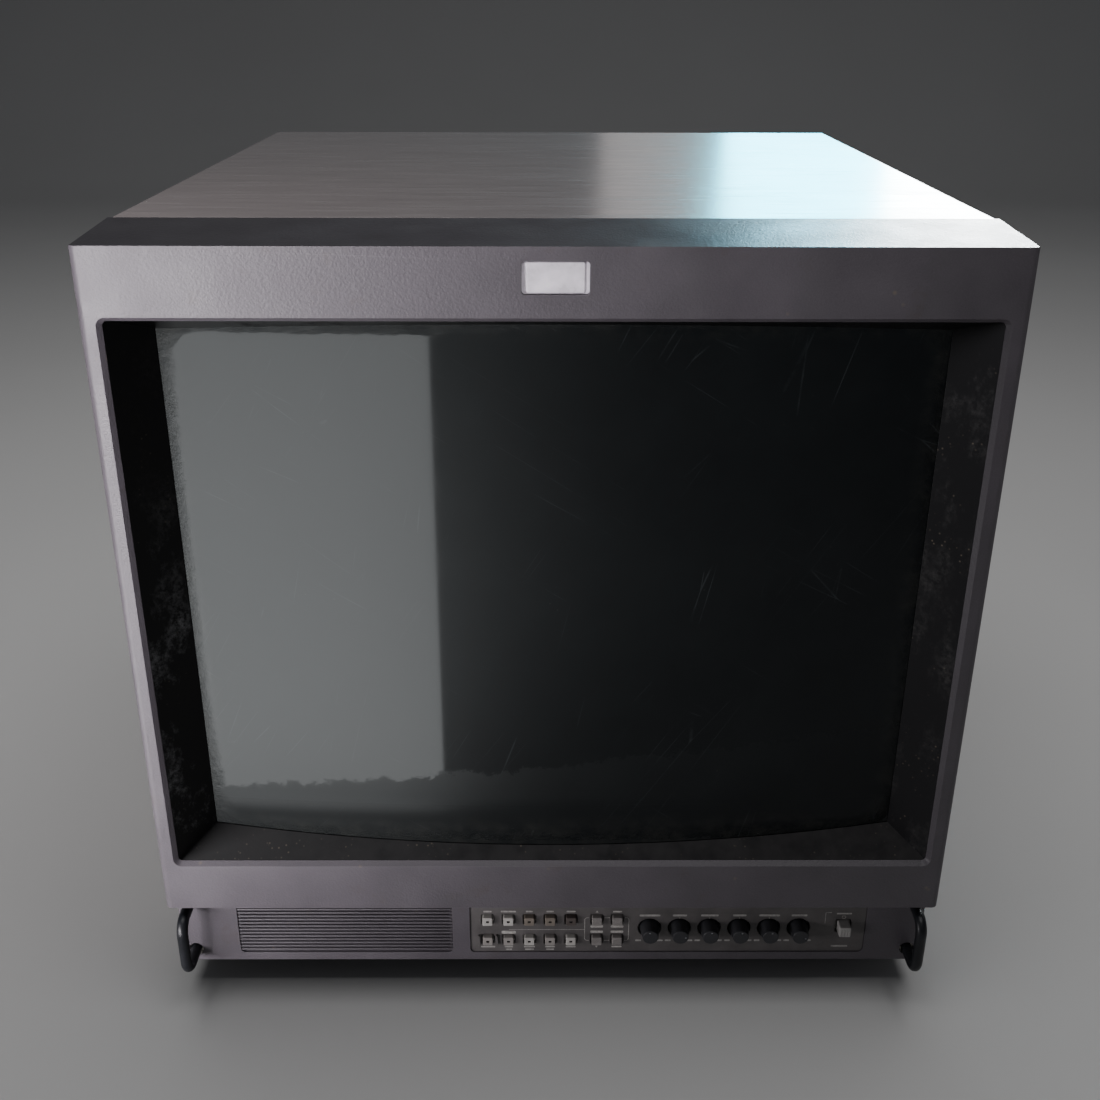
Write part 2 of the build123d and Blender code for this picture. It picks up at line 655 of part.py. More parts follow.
with BuildPart() as feet:
    with BuildSketch(level(-PANEL_DROP)):
        with Locations(*foot_places):
            Circle(15.0)
    extrude(amount=-FOOT_H, taper=6)
    chamfer(feet.faces().sort_by(Axis.Z)[:4].edges(), length=1.5)
    # a stem through the tray's hole, and a head that holds it there
    with BuildSketch(level(-PANEL_DROP)):
        with Locations(*foot_places):
            Circle(2.5)
    extrude(amount=TRAY_T + 0.4)
    with BuildSketch(level(-PANEL_DROP + TRAY_T + 0.2)):
        with Locations(*foot_places):
            Circle(4.2)
    extrude(amount=2.0)
save(feet, "feet")

# ================================================================ sockets at the back
BNC_PLACES = [(-150.0 + 22.0 * i, z) for z in (24.0, -2.0) for i in range(7)]
AUDIO_PLACES = [(17.0 + 18.0 * i, z) for z in (24.0, -2.0) for i in range(4)]
INLET = (128.0, 11.0)
INLET_W, INLET_H = 27.0, 19.6
PANEL_PLATE_T = 1.5
jack_seat = CONNECTOR_DEPTH + PANEL_PLATE_T + 0.05

with BuildPart() as connector_panel:
    with BuildSketch(front(CONNECTOR_DEPTH, height=-1.5)):
        Rectangle(CONNECTOR_W + 14, 100)
        with Locations((0, 1.5)):
            with Locations(*BNC_PLACES):
                Circle(4.8, mode=Mode.SUBTRACT)
            with Locations(*AUDIO_PLACES):
                Circle(4.3, mode=Mode.SUBTRACT)
            with Locations(INLET):
                Rectangle(INLET_W + 0.4, INLET_H + 0.4, mode=Mode.SUBTRACT)
    extrude(amount=-PANEL_PLATE_T)
    # a flange along the foot rests on the tray
    with BuildSketch(level(-PANEL_DROP + TRAY_T + 0.1, depth=CONNECTOR_DEPTH - 8)):
        Rectangle(CONNECTOR_W + 14, 16)
    extrude(amount=PANEL_PLATE_T)
save(connector_panel, "connector_panel")

with BuildPart() as bnc:
    with BuildSketch(front(CONNECTOR_DEPTH - 8)):
        with Locations(*BNC_PLACES):
            Circle(4.75)
    extrude(amount=-(REAR_END - CONNECTOR_DEPTH + 8))
    with BuildSketch(front(jack_seat)):
        with Locations(*BNC_PLACES):
            RegularPolygon(7.2, 6)
    extrude(amount=-2.2)
    with BuildSketch(front(REAR_END)):
        with Locations(*BNC_PLACES):
            Circle(4.05)
            Circle(2.5, mode=Mode.SUBTRACT)
    extrude(amount=9.0, mode=Mode.SUBTRACT)
    with BuildSketch(front(REAR_END)):
        with Locations(*BNC_PLACES):
            Circle(2.6)
    extrude(amount=3.6, mode=Mode.SUBTRACT)
    with BuildSketch(front(REAR_END - 3.6)):
        with Locations(*BNC_PLACES):
            Circle(0.7)
    extrude(amount=5.0, mode=Mode.SUBTRACT)
    # the two bayonet lugs on each
    for lug_x, lug_z in BNC_PLACES:
        with BuildSketch(level(lug_z + 4.4, lug_x, REAR_END - 3.4)):
            Circle(0.9)
        extrude(amount=1.3)
        with BuildSketch(level(lug_z - 4.4, lug_x, REAR_END - 3.4)):
            Circle(0.9)
        extrude(amount=-1.3)
save(bnc, "bnc_jacks")

with BuildPart() as audio:
    with BuildSketch(front(CONNECTOR_DEPTH - 6)):
        with Locations(*AUDIO_PLACES):
            Circle(4.2)
    extrude(amount=-(jack_seat + 7.5 - CONNECTOR_DEPTH + 6))
    with BuildSketch(front(jack_seat)):
        with Locations(*AUDIO_PLACES):
            Circle(6.2)
    extrude(amount=-1.2)
    fillet(audio.faces().sort_by(Axis.Y)[-len(AUDIO_PLACES) :].edges(), radius=0.6)
    with BuildSketch(front(jack_seat + 7.5)):
        with Locations(*AUDIO_PLACES):
            Circle(1.6)
    extrude(amount=8.0, mode=Mode.SUBTRACT)
save(audio, "audio_jacks")

inlet_floor = CONNECTOR_DEPTH - 13.0
with BuildPart() as inlet:
    with BuildSketch(front(CONNECTOR_DEPTH - 17, *INLET)):
        RectangleRounded(INLET_W, INLET_H, 2)
    extrude(amount=-(jack_seat - CONNECTOR_DEPTH + 17))
    with BuildSketch(front(jack_seat, *INLET)):
        RectangleRounded(48, 27, 5)
    extrude(amount=-2.2)
    with BuildSketch(front(jack_seat + 2.2, *INLET)):
        RectangleRounded(23.6, 16.2, 2.5)
    extrude(amount=jack_seat + 2.2 - inlet_floor, mode=Mode.SUBTRACT)
    with BuildSketch(front(jack_seat + 2.2, *INLET)):
        with GridLocations(40, 0, 2, 1):
            Circle(1.7)
    extrude(amount=10, mode=Mode.SUBTRACT)
    # three blades: line and neutral below, earth above and between them
    with BuildSketch(front(inlet_floor, *INLET)):
        with Locations((-7, -2), (7, -2), (0, 2.2)):
            Rectangle(2, 4)
    extrude(amount=-13.5)
save(inlet, "ac_inlet")

# ================================================================ picture tube
GLASS_T = 10.0
glass_outside = curved_block(TUBE_W / 2, TUBE_H / 2, GLASS_DEPTH, TUBE_BACK)
glass_inside = curved_block(
    TUBE_W / 2 - GLASS_T, TUBE_H / 2 - GLASS_T, GLASS_DEPTH + GLASS_T, TUBE_BACK + 10
)
with BuildPart() as faceplate:
    add(glass_outside)
    fillet(faceplate.edges().filter_by(Axis.Y), radius=12)
    add(glass_inside, mode=Mode.SUBTRACT)
save(faceplate, "tube_faceplate")

# the funnel's sections from front to back: depth, width, height, corner radius, thickness of glass
FUNNEL = (
    (TUBE_BACK, 412.0, 314.0, 24.0, 8.0),
    (118.0, 352.0, 264.0, 60.0, 7.0),
    (162.0, 236.0, 190.0, 66.0, 6.0),
    (205.0, 124.0, 112.0, 50.0, 5.0),
    (238.0, 62.0, 58.0, 28.0, 3.5),
    (YOKE_DEPTH, 31.0, 31.0, 15.4, 2.6),
)
STEM_T = 4.0
NECK_BORE = NECK_R - 2.6
PIN_PLACES = PolarLocations(6.0, 9)


def funnel_body(inset, grow=0.0):
    """The funnel's outside, or with inset its inside, or with grow the room that it needs."""
    with BuildPart() as body:
        for depth, width, height, corner, glass in FUNNEL:
            change = 2 * (grow - glass * inset)
            with BuildSketch(front(depth, height=SCREEN_MID)):
                RectangleRounded(width + change, height + change, corner + change / 2)
        loft()
    return body.part


funnel_outside, funnel_inside = funnel_body(0), funnel_body(1)
with BuildPart() as funnel:
    add(funnel_outside)
    with BuildSketch(front(YOKE_DEPTH - 2, height=SCREEN_MID)):
        Circle(NECK_R)
    extrude(amount=-(NECK_END - YOKE_DEPTH + 2))
    add(funnel_inside, mode=Mode.SUBTRACT)
    with BuildSketch(front(YOKE_DEPTH - 6, height=SCREEN_MID)):
        Circle(NECK_BORE)
    extrude(amount=-(NECK_END - STEM_T - YOKE_DEPTH + 6), mode=Mode.SUBTRACT)
    with BuildSketch(front(NECK_END, height=SCREEN_MID)):
        with PIN_PLACES:
            Circle(0.6)
    extrude(amount=STEM_T, mode=Mode.SUBTRACT)
save(funnel, "tube_funnel")

FRAME_W, FRAME_H, FRAME_NOSE, FRAME_BAR = 372.0, 276.0, 30.0, 12.0
SHEET_NOSE = FRAME_NOSE + 0.6
frame_block = curved_block(FRAME_W / 2, FRAME_H / 2, FRAME_NOSE, 56)
behind_sheet = curved_block(FRAME_W / 2 - FRAME_BAR, FRAME_H / 2 - FRAME_BAR, SHEET_NOSE, 60)
with BuildPart() as grille_frame:
    add(frame_block)
    # hollowed from behind, so that only the bars and a thin curved sheet in front are left
    add(behind_sheet, mode=Mode.SUBTRACT)
    with BuildSketch(front(FRAME_NOSE - 5, height=SCREEN_MID)):
        with GridLocations(8.6, 0, 40, 1):
            Rectangle(1.2, FRAME_H - 2 * FRAME_BAR - 4)
    extrude(amount=-18, mode=Mode.SUBTRACT)
save(grille_frame, "aperture_grille")

# ---------------------------------------------------------------- electron gun in the neck
GUN_STEPS = ((9.5, 300, 312), (8.0, 312, 324), (9.0, 324, 352), (7.0, 352, 360))
GUN_CUPS = ((9.0, 360, 374), (6.0, 374, 382), (8.0, 382, 392))
with BuildPart() as gun:
    for step_r, start, end in GUN_STEPS + GUN_CUPS:
        with BuildSketch(front(start, height=SCREEN_MID)):
            Circle(step_r)
        extrude(amount=-(end - start))
    with BuildSketch(front(299, height=SCREEN_MID)):
        Circle(2.2)
    extrude(amount=-60, mode=Mode.SUBTRACT)
    # two glass rods hold the electrodes in line
    with BuildSketch(front(306, height=SCREEN_MID)):
        with GridLocations(19.0, 0, 2, 1):
            Circle(1.4)
    extrude(amount=-84)
    with BuildSketch(front(391, height=SCREEN_MID)):
        with PIN_PLACES:
            Circle(0.5)
    extrude(amount=-24)
save(gun, "electron_gun")

# ---------------------------------------------------------------- band and ears that hold the tube
BAND_T = 1.5
with BuildPart() as band:
    with BuildSketch(front(EAR_DEPTH, height=SCREEN_MID)):
        RectangleRounded(TUBE_W + 0.4 + 2 * BAND_T, TUBE_H + 0.4 + 2 * BAND_T, 13.7)
        RectangleRounded(TUBE_W + 0.4, TUBE_H + 0.4, 12.2, mode=Mode.SUBTRACT)
    extrude(amount=-24)
    for ear_x, ear_z in boss_places:
        edge = SCREEN_MID - TUBE_H / 2 - 0.4 if ear_z < SCREEN_MID else SCREEN_MID + TUBE_H / 2 + 0.4
        outward = -1 if ear_z < SCREEN_MID else 1
        ear_h = abs(ear_z + outward * 8 - edge)
        with BuildSketch(front(EAR_DEPTH, ear_x * 0.975, edge + outward * ear_h / 2)):
            Rectangle(26, ear_h)
        extrude(amount=-2)
    with BuildSketch(front(EAR_DEPTH)):
        with Locations(*boss_places):
            Circle(2.3)
    extrude(amount=-2, mode=Mode.SUBTRACT)
save(band, "rim_band")

# ---------------------------------------------------------------- identical screws: handles and tube
screw_seats = [(x, z, bracket_front + 2.1) for x, z in handle_places]
screw_seats += [(x, z, EAR_DEPTH + 2.1) for x, z in boss_places]
with BuildPart() as screws:
    for x, z, seat_depth in screw_seats:
        with BuildSketch(front(seat_depth, x, z)):
            Circle(3.8)
        extrude(amount=-2.6, taper=8)
        with BuildSketch(front(seat_depth, x, z)):
            Circle(1.95)
        extrude(amount=SCREW_DEPTH)
        with BuildSketch(front(seat_depth + 2.6, x, z)):
            Rectangle(4.4, 0.9)
            Rectangle(0.9, 4.4)
        extrude(amount=1.2, mode=Mode.SUBTRACT)
save(screws, "machine_screws")

# ---------------------------------------------------------------- coils round the tube
DEGAUSS_DEPTH = 92.0
COIL_W, COIL_H, COIL_R = TUBE_W - 2, TUBE_H, 5.5
with BuildPart() as degauss_coil:
    with BuildSketch(front(DEGAUSS_DEPTH - COIL_R, height=SCREEN_MID)):
        RectangleRounded(COIL_W + 2 * COIL_R, COIL_H + 2 * COIL_R, 40 + COIL_R)
        RectangleRounded(COIL_W - 2 * COIL_R, COIL_H - 2 * COIL_R, 40 - COIL_R, mode=Mode.SUBTRACT)
    extrude(amount=-2 * COIL_R)
    fillet(degauss_coil.edges().filter_by(Axis.Y, reverse=True), radius=COIL_R - 0.2)
save(degauss_coil, "degauss_coil")


def turned(outline):
    """A solid of revolution about the tube's axis; the outline is a list of radius and depth."""
    with BuildPart() as piece:
        with BuildSketch(level(SCREEN_MID)):
            with BuildLine():
                Polyline(*outline, close=True)
            make_face()
        revolve(axis=lengthwise(0, SCREEN_MID))
    return piece.part


# from the flange round the cone, along the outside to the neck, and back along the inside
YOKE_OUTLINE = (
    (70, 214),
    (90, 214),
    (90, 218),
    (78, 220),
    (68, 232),
    (68, 266),
    (60, 270),
    (46, 272),
    (42, 284),
    (30, 286),
    (28, 300),
    (16.4, 300),
    (16.4, 268),
    (37, 240),
)
yoke_shell = turned(YOKE_OUTLINE)
with BuildPart() as yoke:
    add(yoke_shell)
    # the windings show as ribs round the rear of the cone
    with BuildSketch(front(272, height=SCREEN_MID)):
        with PolarLocations(50, 24):
            SlotOverall(16, 3.2)
    extrude(amount=-5)
save(yoke, "deflection_yoke")

RING_DEPTHS = (316.0, 319.0, 326.0, 329.0, 336.0, 339.0)
RING_TUBE_OUTLINE = ((14.9, 308), (19.5, 308), (19.5, 313), (16.4, 313), (16.4, 350), (14.9, 350))
ring_tube = turned(RING_TUBE_OUTLINE)
with BuildPart() as ring_holder:
    add(ring_tube)
    for i, ring_depth in enumerate(RING_DEPTHS):
        with BuildSketch(front(ring_depth, height=SCREEN_MID)):
            Circle(24)
            with PolarLocations(26, 2, start_angle=20 + 40 * i):
                Rectangle(10, 5)
            Circle(16.6, mode=Mode.SUBTRACT)
        extrude(amount=-2.4)
save(ring_holder, "convergence_rings")

SOCKET_FRONT, SOCKET_BACK = NECK_END + 1.0, NECK_END + 8.0
BOARD_T = 1.6
with BuildPart() as neck_board:
    with BuildSketch(front(SOCKET_FRONT, height=SCREEN_MID)):
        Circle(17)
        with PIN_PLACES:
            Circle(0.65, mode=Mode.SUBTRACT)
    extrude(amount=-(SOCKET_BACK - SOCKET_FRONT))
    with BuildSketch(front(SOCKET_BACK, height=SCREEN_MID - 8)):
        RectangleRounded(104, 92, 3)
    extrude(amount=-BOARD_T)
    # video amplifiers with their heat sink, a relay and some capacitors
    with BuildSketch(front(SOCKET_BACK + BOARD_T, height=SCREEN_MID - 30)):
        Rectangle(84, 3)
        with GridLocations(7, 0, 12, 1):
            with Locations((0, 5)):
                Rectangle(1.4, 10)
    extrude(amount=-24)
    with BuildSketch(front(SOCKET_BACK + BOARD_T, height=SCREEN_MID + 18)):
        with GridLocations(24, 0, 3, 1):
            Rectangle(14, 12)
    extrude(amount=-12)
    with BuildSketch(front(SOCKET_BACK + BOARD_T, height=SCREEN_MID)):
        with GridLocations(16, 14, 5, 2):
            Circle(4)
    extrude(amount=-14)
save(neck_board, "neck_board")

# ================================================================ circuit boards on the tray
TRAY_FLOOR = -PANEL_DROP + TRAY_T
STANDOFF_H = 8.0
BOARD_Z = TRAY_FLOOR + 0.1 + STANDOFF_H
PARTS_Z = BOARD_Z + BOARD_T


def bare_board(mid_x, mid_depth, width, length):
    """A circuit board on four standoffs."""
    with BuildPart() as board:
        with BuildSketch(level(BOARD_Z, mid_x, mid_depth)):
            Rectangle(width, length)
        extrude(amount=BOARD_T)
        with BuildSketch(level(BOARD_Z, mid_x, mid_depth)):
            with GridLocations(width - 12, length - 12, 2, 2):
                Circle(3)
        extrude(amount=-STANDOFF_H)
    return board.part


def heat_sink(x, depth, width, height, fins):
    """A finned plate that stands on a board, along its length."""
    with BuildPart() as sink:
        with BuildSketch(level(PARTS_Z, x, depth)):
            Rectangle(3, width)
            with GridLocations(0, width / fins, 1, fins):
                with Locations((7, 0)):
                    Rectangle(14, 1.6)
        extrude(amount=height)
    return sink.part


MAIN_X = -88.0
main_pieces = [bare_board(MAIN_X, 285, 190, 320), heat_sink(MAIN_X - 90, 300, 150, 42, 15)]
with BuildPart() as main_board:
    add(main_pieces)
    with BuildSketch(level(PARTS_Z, -60, 400)):
        with GridLocations(20, 20, 5, 3):
            Circle(6)
    extrude(amount=22)
    with BuildSketch(level(PARTS_Z, MAIN_X, 230)):
        with GridLocations(34, 42, 4, 3):
            Rectangle(22, 30)
    extrude(amount=4)
    # plug-in sockets along the front edge, and the jacks' riser along the back one
    with BuildSketch(level(PARTS_Z, MAIN_X, 134)):
        with GridLocations(40, 0, 4, 1):
            Rectangle(30, 8)
    extrude(amount=10)
    with BuildSketch(level(PARTS_Z, MAIN_X, 438)):
        Rectangle(172, 10)
    extrude(amount=60)
save(main_board, "main_board")

power_pieces = [bare_board(120, 245, 160, 270), heat_sink(60, 190, 110, 46, 11)]
with BuildPart() as power_board:
    add(power_pieces)
    with BuildSketch(level(PARTS_Z, 170, 160)):
        with GridLocations(34, 36, 2, 2):
            Circle(14)
    extrude(amount=46)
    with BuildSketch(level(PARTS_Z, 115, 240)):
        RectangleRounded(44, 40, 3)
    extrude(amount=38)
    with BuildSketch(level(PARTS_Z, 170, 250)):
        RectangleRounded(36, 46, 3)
    extrude(amount=34)
    with BuildSketch(level(PARTS_Z, 165, 345)):
        with GridLocations(24, 26, 2, 2):
            Circle(8)
    extrude(amount=26)
save(power_board, "power_board")

FLYBACK_X, FLYBACK_DEPTH, FLYBACK_H = 100.0, 335.0, 62.0
with BuildPart() as flyback:
    with BuildSketch(level(PARTS_Z + 0.1, FLYBACK_X, FLYBACK_DEPTH)):
        RectangleRounded(44, 40, 6)
    extrude(amount=FLYBACK_H)
    fillet(flyback.faces().sort_by(Axis.Z)[-1].edges(), radius=2)
    # the ferrite core loops round the potted winding
    with BuildSketch(side(FLYBACK_X, FLYBACK_DEPTH + 14, PARTS_Z + 34)):
        Rectangle(42, 52)
        with Locations((-2, 0)):
            Rectangle(26, 28, mode=Mode.SUBTRACT)
    extrude(amount=7, both=True)
    # focus and screen controls on its front face
    with BuildSketch(front(FLYBACK_DEPTH - 20, FLYBACK_X, PARTS_Z + 30)):
        with GridLocations(0, 22, 1, 2):
            Circle(6)
    extrude(amount=5)
save(flyback, "flyback_transformer")

# ================================================================ leads held inside


def at(x, depth, height):
    """A point, from its place across, its depth and its height."""
    return Vector(x, FACE_Y + depth, RIM_Z + height)


def bend_radii(points):
    """The radius at each corner of a route: as large as its two runs allow."""
    radii = []
    for before, corner, after in zip(points, points[1:], points[2:]):
        run_in, run_out = corner - before, after - corner
        turn = radians(run_in.get_angle(run_out))
        radii.append(0.45 * min(run_in.length, run_out.length) / tan(turn / 2))
    return radii


def make_lead(places, radius):
    """A round lead along a route of straight runs joined by arcs."""
    points = [at(*place) for place in places]
    with BuildPart() as lead:
        with BuildLine() as run:
            FilletPolyline(*points, radius=bend_radii(points))
        with BuildSketch(run.line ^ 0):
            Circle(radius)
        sweep(path=run.line)
    return lead.part


CAP_DEPTH = 112.0
CAP_Z = SCREEN_MID + 136.0
ANODE_ROUTE = (
    (FLYBACK_X, FLYBACK_DEPTH, PARTS_Z + FLYBACK_H + 0.3),
    (FLYBACK_X + 2, FLYBACK_DEPTH, 70),
    (FLYBACK_X + 20, FLYBACK_DEPTH - 10, 130),
    (FLYBACK_X + 26, FLYBACK_DEPTH - 30, 195),
    (FLYBACK_X + 20, FLYBACK_DEPTH - 60, 255),
    (FLYBACK_X, FLYBACK_DEPTH - 100, 305),
    (FLYBACK_X - 36, FLYBACK_DEPTH - 142, 338),
    (FLYBACK_X - 74, FLYBACK_DEPTH - 180, 348),
    (0, CAP_DEPTH + 22, CAP_Z + 8),
    (0, CAP_DEPTH + 4, CAP_Z + 5),
)
CAP_TILT = radians(33)
cap_plane = Plane(origin=at(0, CAP_DEPTH, CAP_Z - 14), z_dir=(0, sin(CAP_TILT), cos(CAP_TILT)))
funnel_room = funnel_body(0, grow=0.3)
anode_wire = make_lead(ANODE_ROUTE, 2.4)
with BuildPart() as anode_lead:
    # the rubber cap is a shallow cup on the slope of the funnel
    with BuildSketch(cap_plane):
        Circle(24)
    extrude(amount=17)
    fillet(anode_lead.faces().sort_by(Axis.Z)[-1].edges(), radius=5)
    add(funnel_room, mode=Mode.SUBTRACT)
    add(anode_wire)
save(anode_lead, "anode_lead")

# each lead leaves and meets its pieces square to their faces
PLUG_DEPTH, PLUG_HEIGHT = 129.7, -37.0
BOARD_HEIGHT = PARTS_Z + 0.3
LEADS = (
    # speaker to main board
    (
        (-124, 45.2, -26),
        (-124, 62, -26),
        (-120, 86, -22),
        (-110, 104, -34),
        (-108, 118, PLUG_HEIGHT),
        (-108, PLUG_DEPTH, PLUG_HEIGHT),
    ),
    # push-button board to main board
    (
        (-20, 29.3, -30),
        (-20, 48, -30),
        (-40, 78, -24),
        (-60, 104, -30),
        (-68, 118, PLUG_HEIGHT),
        (-68, PLUG_DEPTH, PLUG_HEIGHT),
    ),
    # control board to main board
    (
        (90, 33.0, -30),
        (90, 46, -30),
        (60, 76, -22),
        (5, 100, -26),
        (-28, 116, PLUG_HEIGHT),
        (-28, PLUG_DEPTH, PLUG_HEIGHT),
    ),
    # yoke to main board
    (
        (-36.5, 280, 163),
        (-66, 272, 138),
        (-78, 256, 90),
        (-84, 236, 40),
        (-88, 232, -10),
        (-88, 232, BOARD_HEIGHT),
    ),
    # neck board to main board
    (
        (-30, SOCKET_BACK + BOARD_T + 0.3, 146),
        (-30, SOCKET_BACK + BOARD_T + 13, 146),
        (-36, 428, 100),
        (-50, 384, 30),
        (-66, 330, -12),
        (-66, 330, BOARD_HEIGHT),
    ),
    # mains inlet to switch, along the right wall
    (
        (INLET[0], CONNECTOR_DEPTH - 17.4, 6),
        (INLET[0], CONNECTOR_DEPTH - 30, 6),
        (180, 424, -8),
        (208, 380, -12),
        (212, 320, -14),
        (212, 250, -12),
        (212, 180, -14),
        (210, 120, -18),
        (196, 84, -26),
        (POWER_X, 66, POWER_HEIGHT),
        (POWER_X, 53.2, POWER_HEIGHT),
    ),
)
leads = [make_lead(route, 2.0) for route in LEADS]
with BuildPart() as wiring:
    add(leads)
save(wiring, "inner_wiring")
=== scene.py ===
import math

import bmesh
import bpy
from mathutils import Matrix, Quaternion, Vector


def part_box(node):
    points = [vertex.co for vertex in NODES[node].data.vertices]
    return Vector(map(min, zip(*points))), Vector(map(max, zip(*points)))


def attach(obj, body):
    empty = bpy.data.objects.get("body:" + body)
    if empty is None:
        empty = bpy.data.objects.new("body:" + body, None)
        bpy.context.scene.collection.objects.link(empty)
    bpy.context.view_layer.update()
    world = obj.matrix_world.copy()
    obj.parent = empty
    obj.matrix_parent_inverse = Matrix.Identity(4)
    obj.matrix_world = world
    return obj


# A cathode ray tube picture monitor: materials for the CAD pieces, the printed marks and small lenses
# that CAD leaves out, and a plain studio. Metres, +X right, +Y to the back, +Z up.

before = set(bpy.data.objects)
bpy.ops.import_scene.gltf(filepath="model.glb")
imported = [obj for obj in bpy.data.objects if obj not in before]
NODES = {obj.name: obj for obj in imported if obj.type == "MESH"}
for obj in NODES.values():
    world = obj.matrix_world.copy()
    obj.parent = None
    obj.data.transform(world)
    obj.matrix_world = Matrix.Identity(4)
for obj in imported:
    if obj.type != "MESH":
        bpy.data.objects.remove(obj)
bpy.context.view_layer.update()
MM = 0.001
BEZEL_LOW, BEZEL_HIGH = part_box("front_bezel")
ROOF_Z = BEZEL_HIGH.z
BODY = "cabinet"
BEVEL_SAMPLES = 6
MIX_COLOURS, MIX_RESULT = (6, 7), 2  # a Mix node's colour sockets, whose names aren't unique

# The glass that shows, in millimetres: half its width, and its lower and upper edges above the bezel's
# lower edge. The upper one is set a little past the edge that shows.
SCREEN_HALF = 194.3
SCREEN_LOW = 46.4
SCREEN_HIGH = 344.0

BUTTONS = [f"input_button_{i}" for i in range(1, 6)]
BUTTONS += ["degauss_button", "blue_only_button", "underscan_button", "delay_button", "aspect_button"]
MENU_BUTTONS = ["menu_up_button", "menu_button", "menu_down_button", "enter_button"]
KNOBS = ["aperture_knob", "bright_knob", "chroma_knob", "phase_knob", "contrast_knob", "volume_knob"]


def body_of(node):
    """A button's or knob's body has its node's name without the ending."""
    return node.replace("_button", "").replace("_knob", "")


# ---------------------------------------------------------------- material recipes


def opaque(colour):
    """A plain colour gets an alpha of 1; a socket stays as it is."""
    return colour + (1.0,) if isinstance(colour, tuple) else colour


def shade(colour, factor):
    return tuple(c * factor for c in colour)


class Recipe:
    """Builds one procedural material; its methods return sockets that feed each other."""

    def __init__(self, name, metallic=0.0, ior=1.5, coat=0.0, coat_roughness=0.1):
        self.material = bpy.data.materials.new(name)
        self.material.use_nodes = True
        self.tree = self.material.node_tree
        self.tree.nodes.clear()
        output = self.node("OutputMaterial")
        self.shader = self.node("BsdfPrincipled")
        self.join(self.shader.outputs[0], output.inputs["Surface"])
        self.shader.inputs["Metallic"].default_value = metallic
        self.shader.inputs["IOR"].default_value = ior
        self.shader.inputs["Coat Weight"].default_value = coat
        self.shader.inputs["Coat Roughness"].default_value = coat_roughness
        self.place = self.node("TexCoord").outputs["Object"]

    def node(self, kind, **settings):
        made = self.tree.nodes.new("ShaderNode" + kind)
        for key, value in settings.items():
            setattr(made, key, value)
        return made

    def join(self, source, target):
        """Feeds a socket with another socket, or sets it to a plain value."""
        if isinstance(source, bpy.types.NodeSocket):
            self.tree.links.new(source, target)
        else:
            target.default_value = source

    def warp(self, stretch=(1, 1, 1), turn=(0, 0, 0), shift=(0, 0, 0)):
        """The object's coordinates, stretched, turned by degrees and shifted."""
        mapping = self.node("Mapping", vector_type="TEXTURE")
        self.join(self.place, mapping.inputs["Vector"])
        mapping.inputs["Scale"].default_value = [1 / s for s in stretch]
        mapping.inputs["Rotation"].default_value = [math.radians(a) for a in turn]
        mapping.inputs["Location"].default_value = shift
        return mapping.outputs[0]

    def noise(self, size, detail=4.0, rough=0.55, **where):
        """Cloudy noise, whose blobs are about this many millimetres across."""
        made = self.node("TexNoise")
        self.join(self.warp(**where), made.inputs["Vector"])
        made.inputs["Scale"].default_value = 1 / (size * MM)
        made.inputs["Detail"].default_value = detail
        made.inputs["Roughness"].default_value = rough
        return made.outputs["Fac"]

    def cells(self, size, feature="F1", **where):
        """Cell noise, whose cells are about this many millimetres across."""
        made = self.node("TexVoronoi", feature=feature)
        self.join(self.warp(**where), made.inputs["Vector"])
        made.inputs["Scale"].default_value = 1 / (size * MM)
        return made.outputs["Distance"]

    def ramp(self, value, low, high, start=0.0, end=1.0):
        """Spreads low..high over start..end, and holds the ends."""
        made = self.node("MapRange", clamp=True)
        for socket, number in zip(made.inputs[:5], (value, low, high, start, end)):
            self.join(number, socket)
        return made.outputs[0]

    def math(self, operation, a, b=0.0):
        """Arithmetic on sockets or plain numbers."""
        made = self.node("Math", operation=operation)
        self.join(a, made.inputs[0])
        self.join(b, made.inputs[1])
        return made.outputs[0]

    def mix(self, amount, a, b):
        """A colour between two others."""
        made = self.node("Mix", data_type="RGBA")
        self.join(amount, made.inputs[0])
        for colour, socket in zip((a, b), MIX_COLOURS):
            self.join(opaque(colour), made.inputs[socket])
        return made.outputs[MIX_RESULT]

    def axis(self, letter):
        """Where the surface is along an axis of the row frame, in metres."""
        split = self.node("SeparateXYZ")
        self.join(self.place, split.inputs[0])
        return split.outputs[letter]

    def facing(self, letter):
        """How far the surface faces along an axis of the row frame."""
        split = self.node("SeparateXYZ")
        self.join(self.node("NewGeometry").outputs["Normal"], split.inputs[0])
        return split.outputs[letter]

    def edges(self, radius):
        """1 on sharp edges and 0 on flat stretches."""
        bevel = self.node("Bevel", samples=BEVEL_SAMPLES)
        bevel.inputs["Radius"].default_value = radius * MM
        plain = self.node("NewGeometry").outputs["Normal"]
        dot = self.node("VectorMath", operation="DOT_PRODUCT")
        self.join(bevel.outputs[0], dot.inputs[0])
        self.join(plain, dot.inputs[1])
        flat, sharp = 0.995, 0.8  # cosines between the rounded and the plain normal
        return self.ramp(dot.outputs["Value"], flat, sharp)

    def bump(self, *layers, soften=0.35):
        """Layers of height, each a socket and its depth in millimetres, over slightly softened edges."""
        rounded = self.node("Bevel", samples=BEVEL_SAMPLES)
        rounded.inputs["Radius"].default_value = soften * MM
        normal = rounded.outputs[0]
        for height, depth in layers:
            made = self.node("Bump")
            made.inputs["Distance"].default_value = depth * MM
            self.join(height, made.inputs["Height"])
            self.join(normal, made.inputs["Normal"])
            normal = made.outputs[0]
        self.join(normal, self.shader.inputs["Normal"])

    def finish(self, colour, roughness):
        self.join(opaque(colour), self.shader.inputs["Base Color"])
        self.join(roughness, self.shader.inputs["Roughness"])
        return self.material


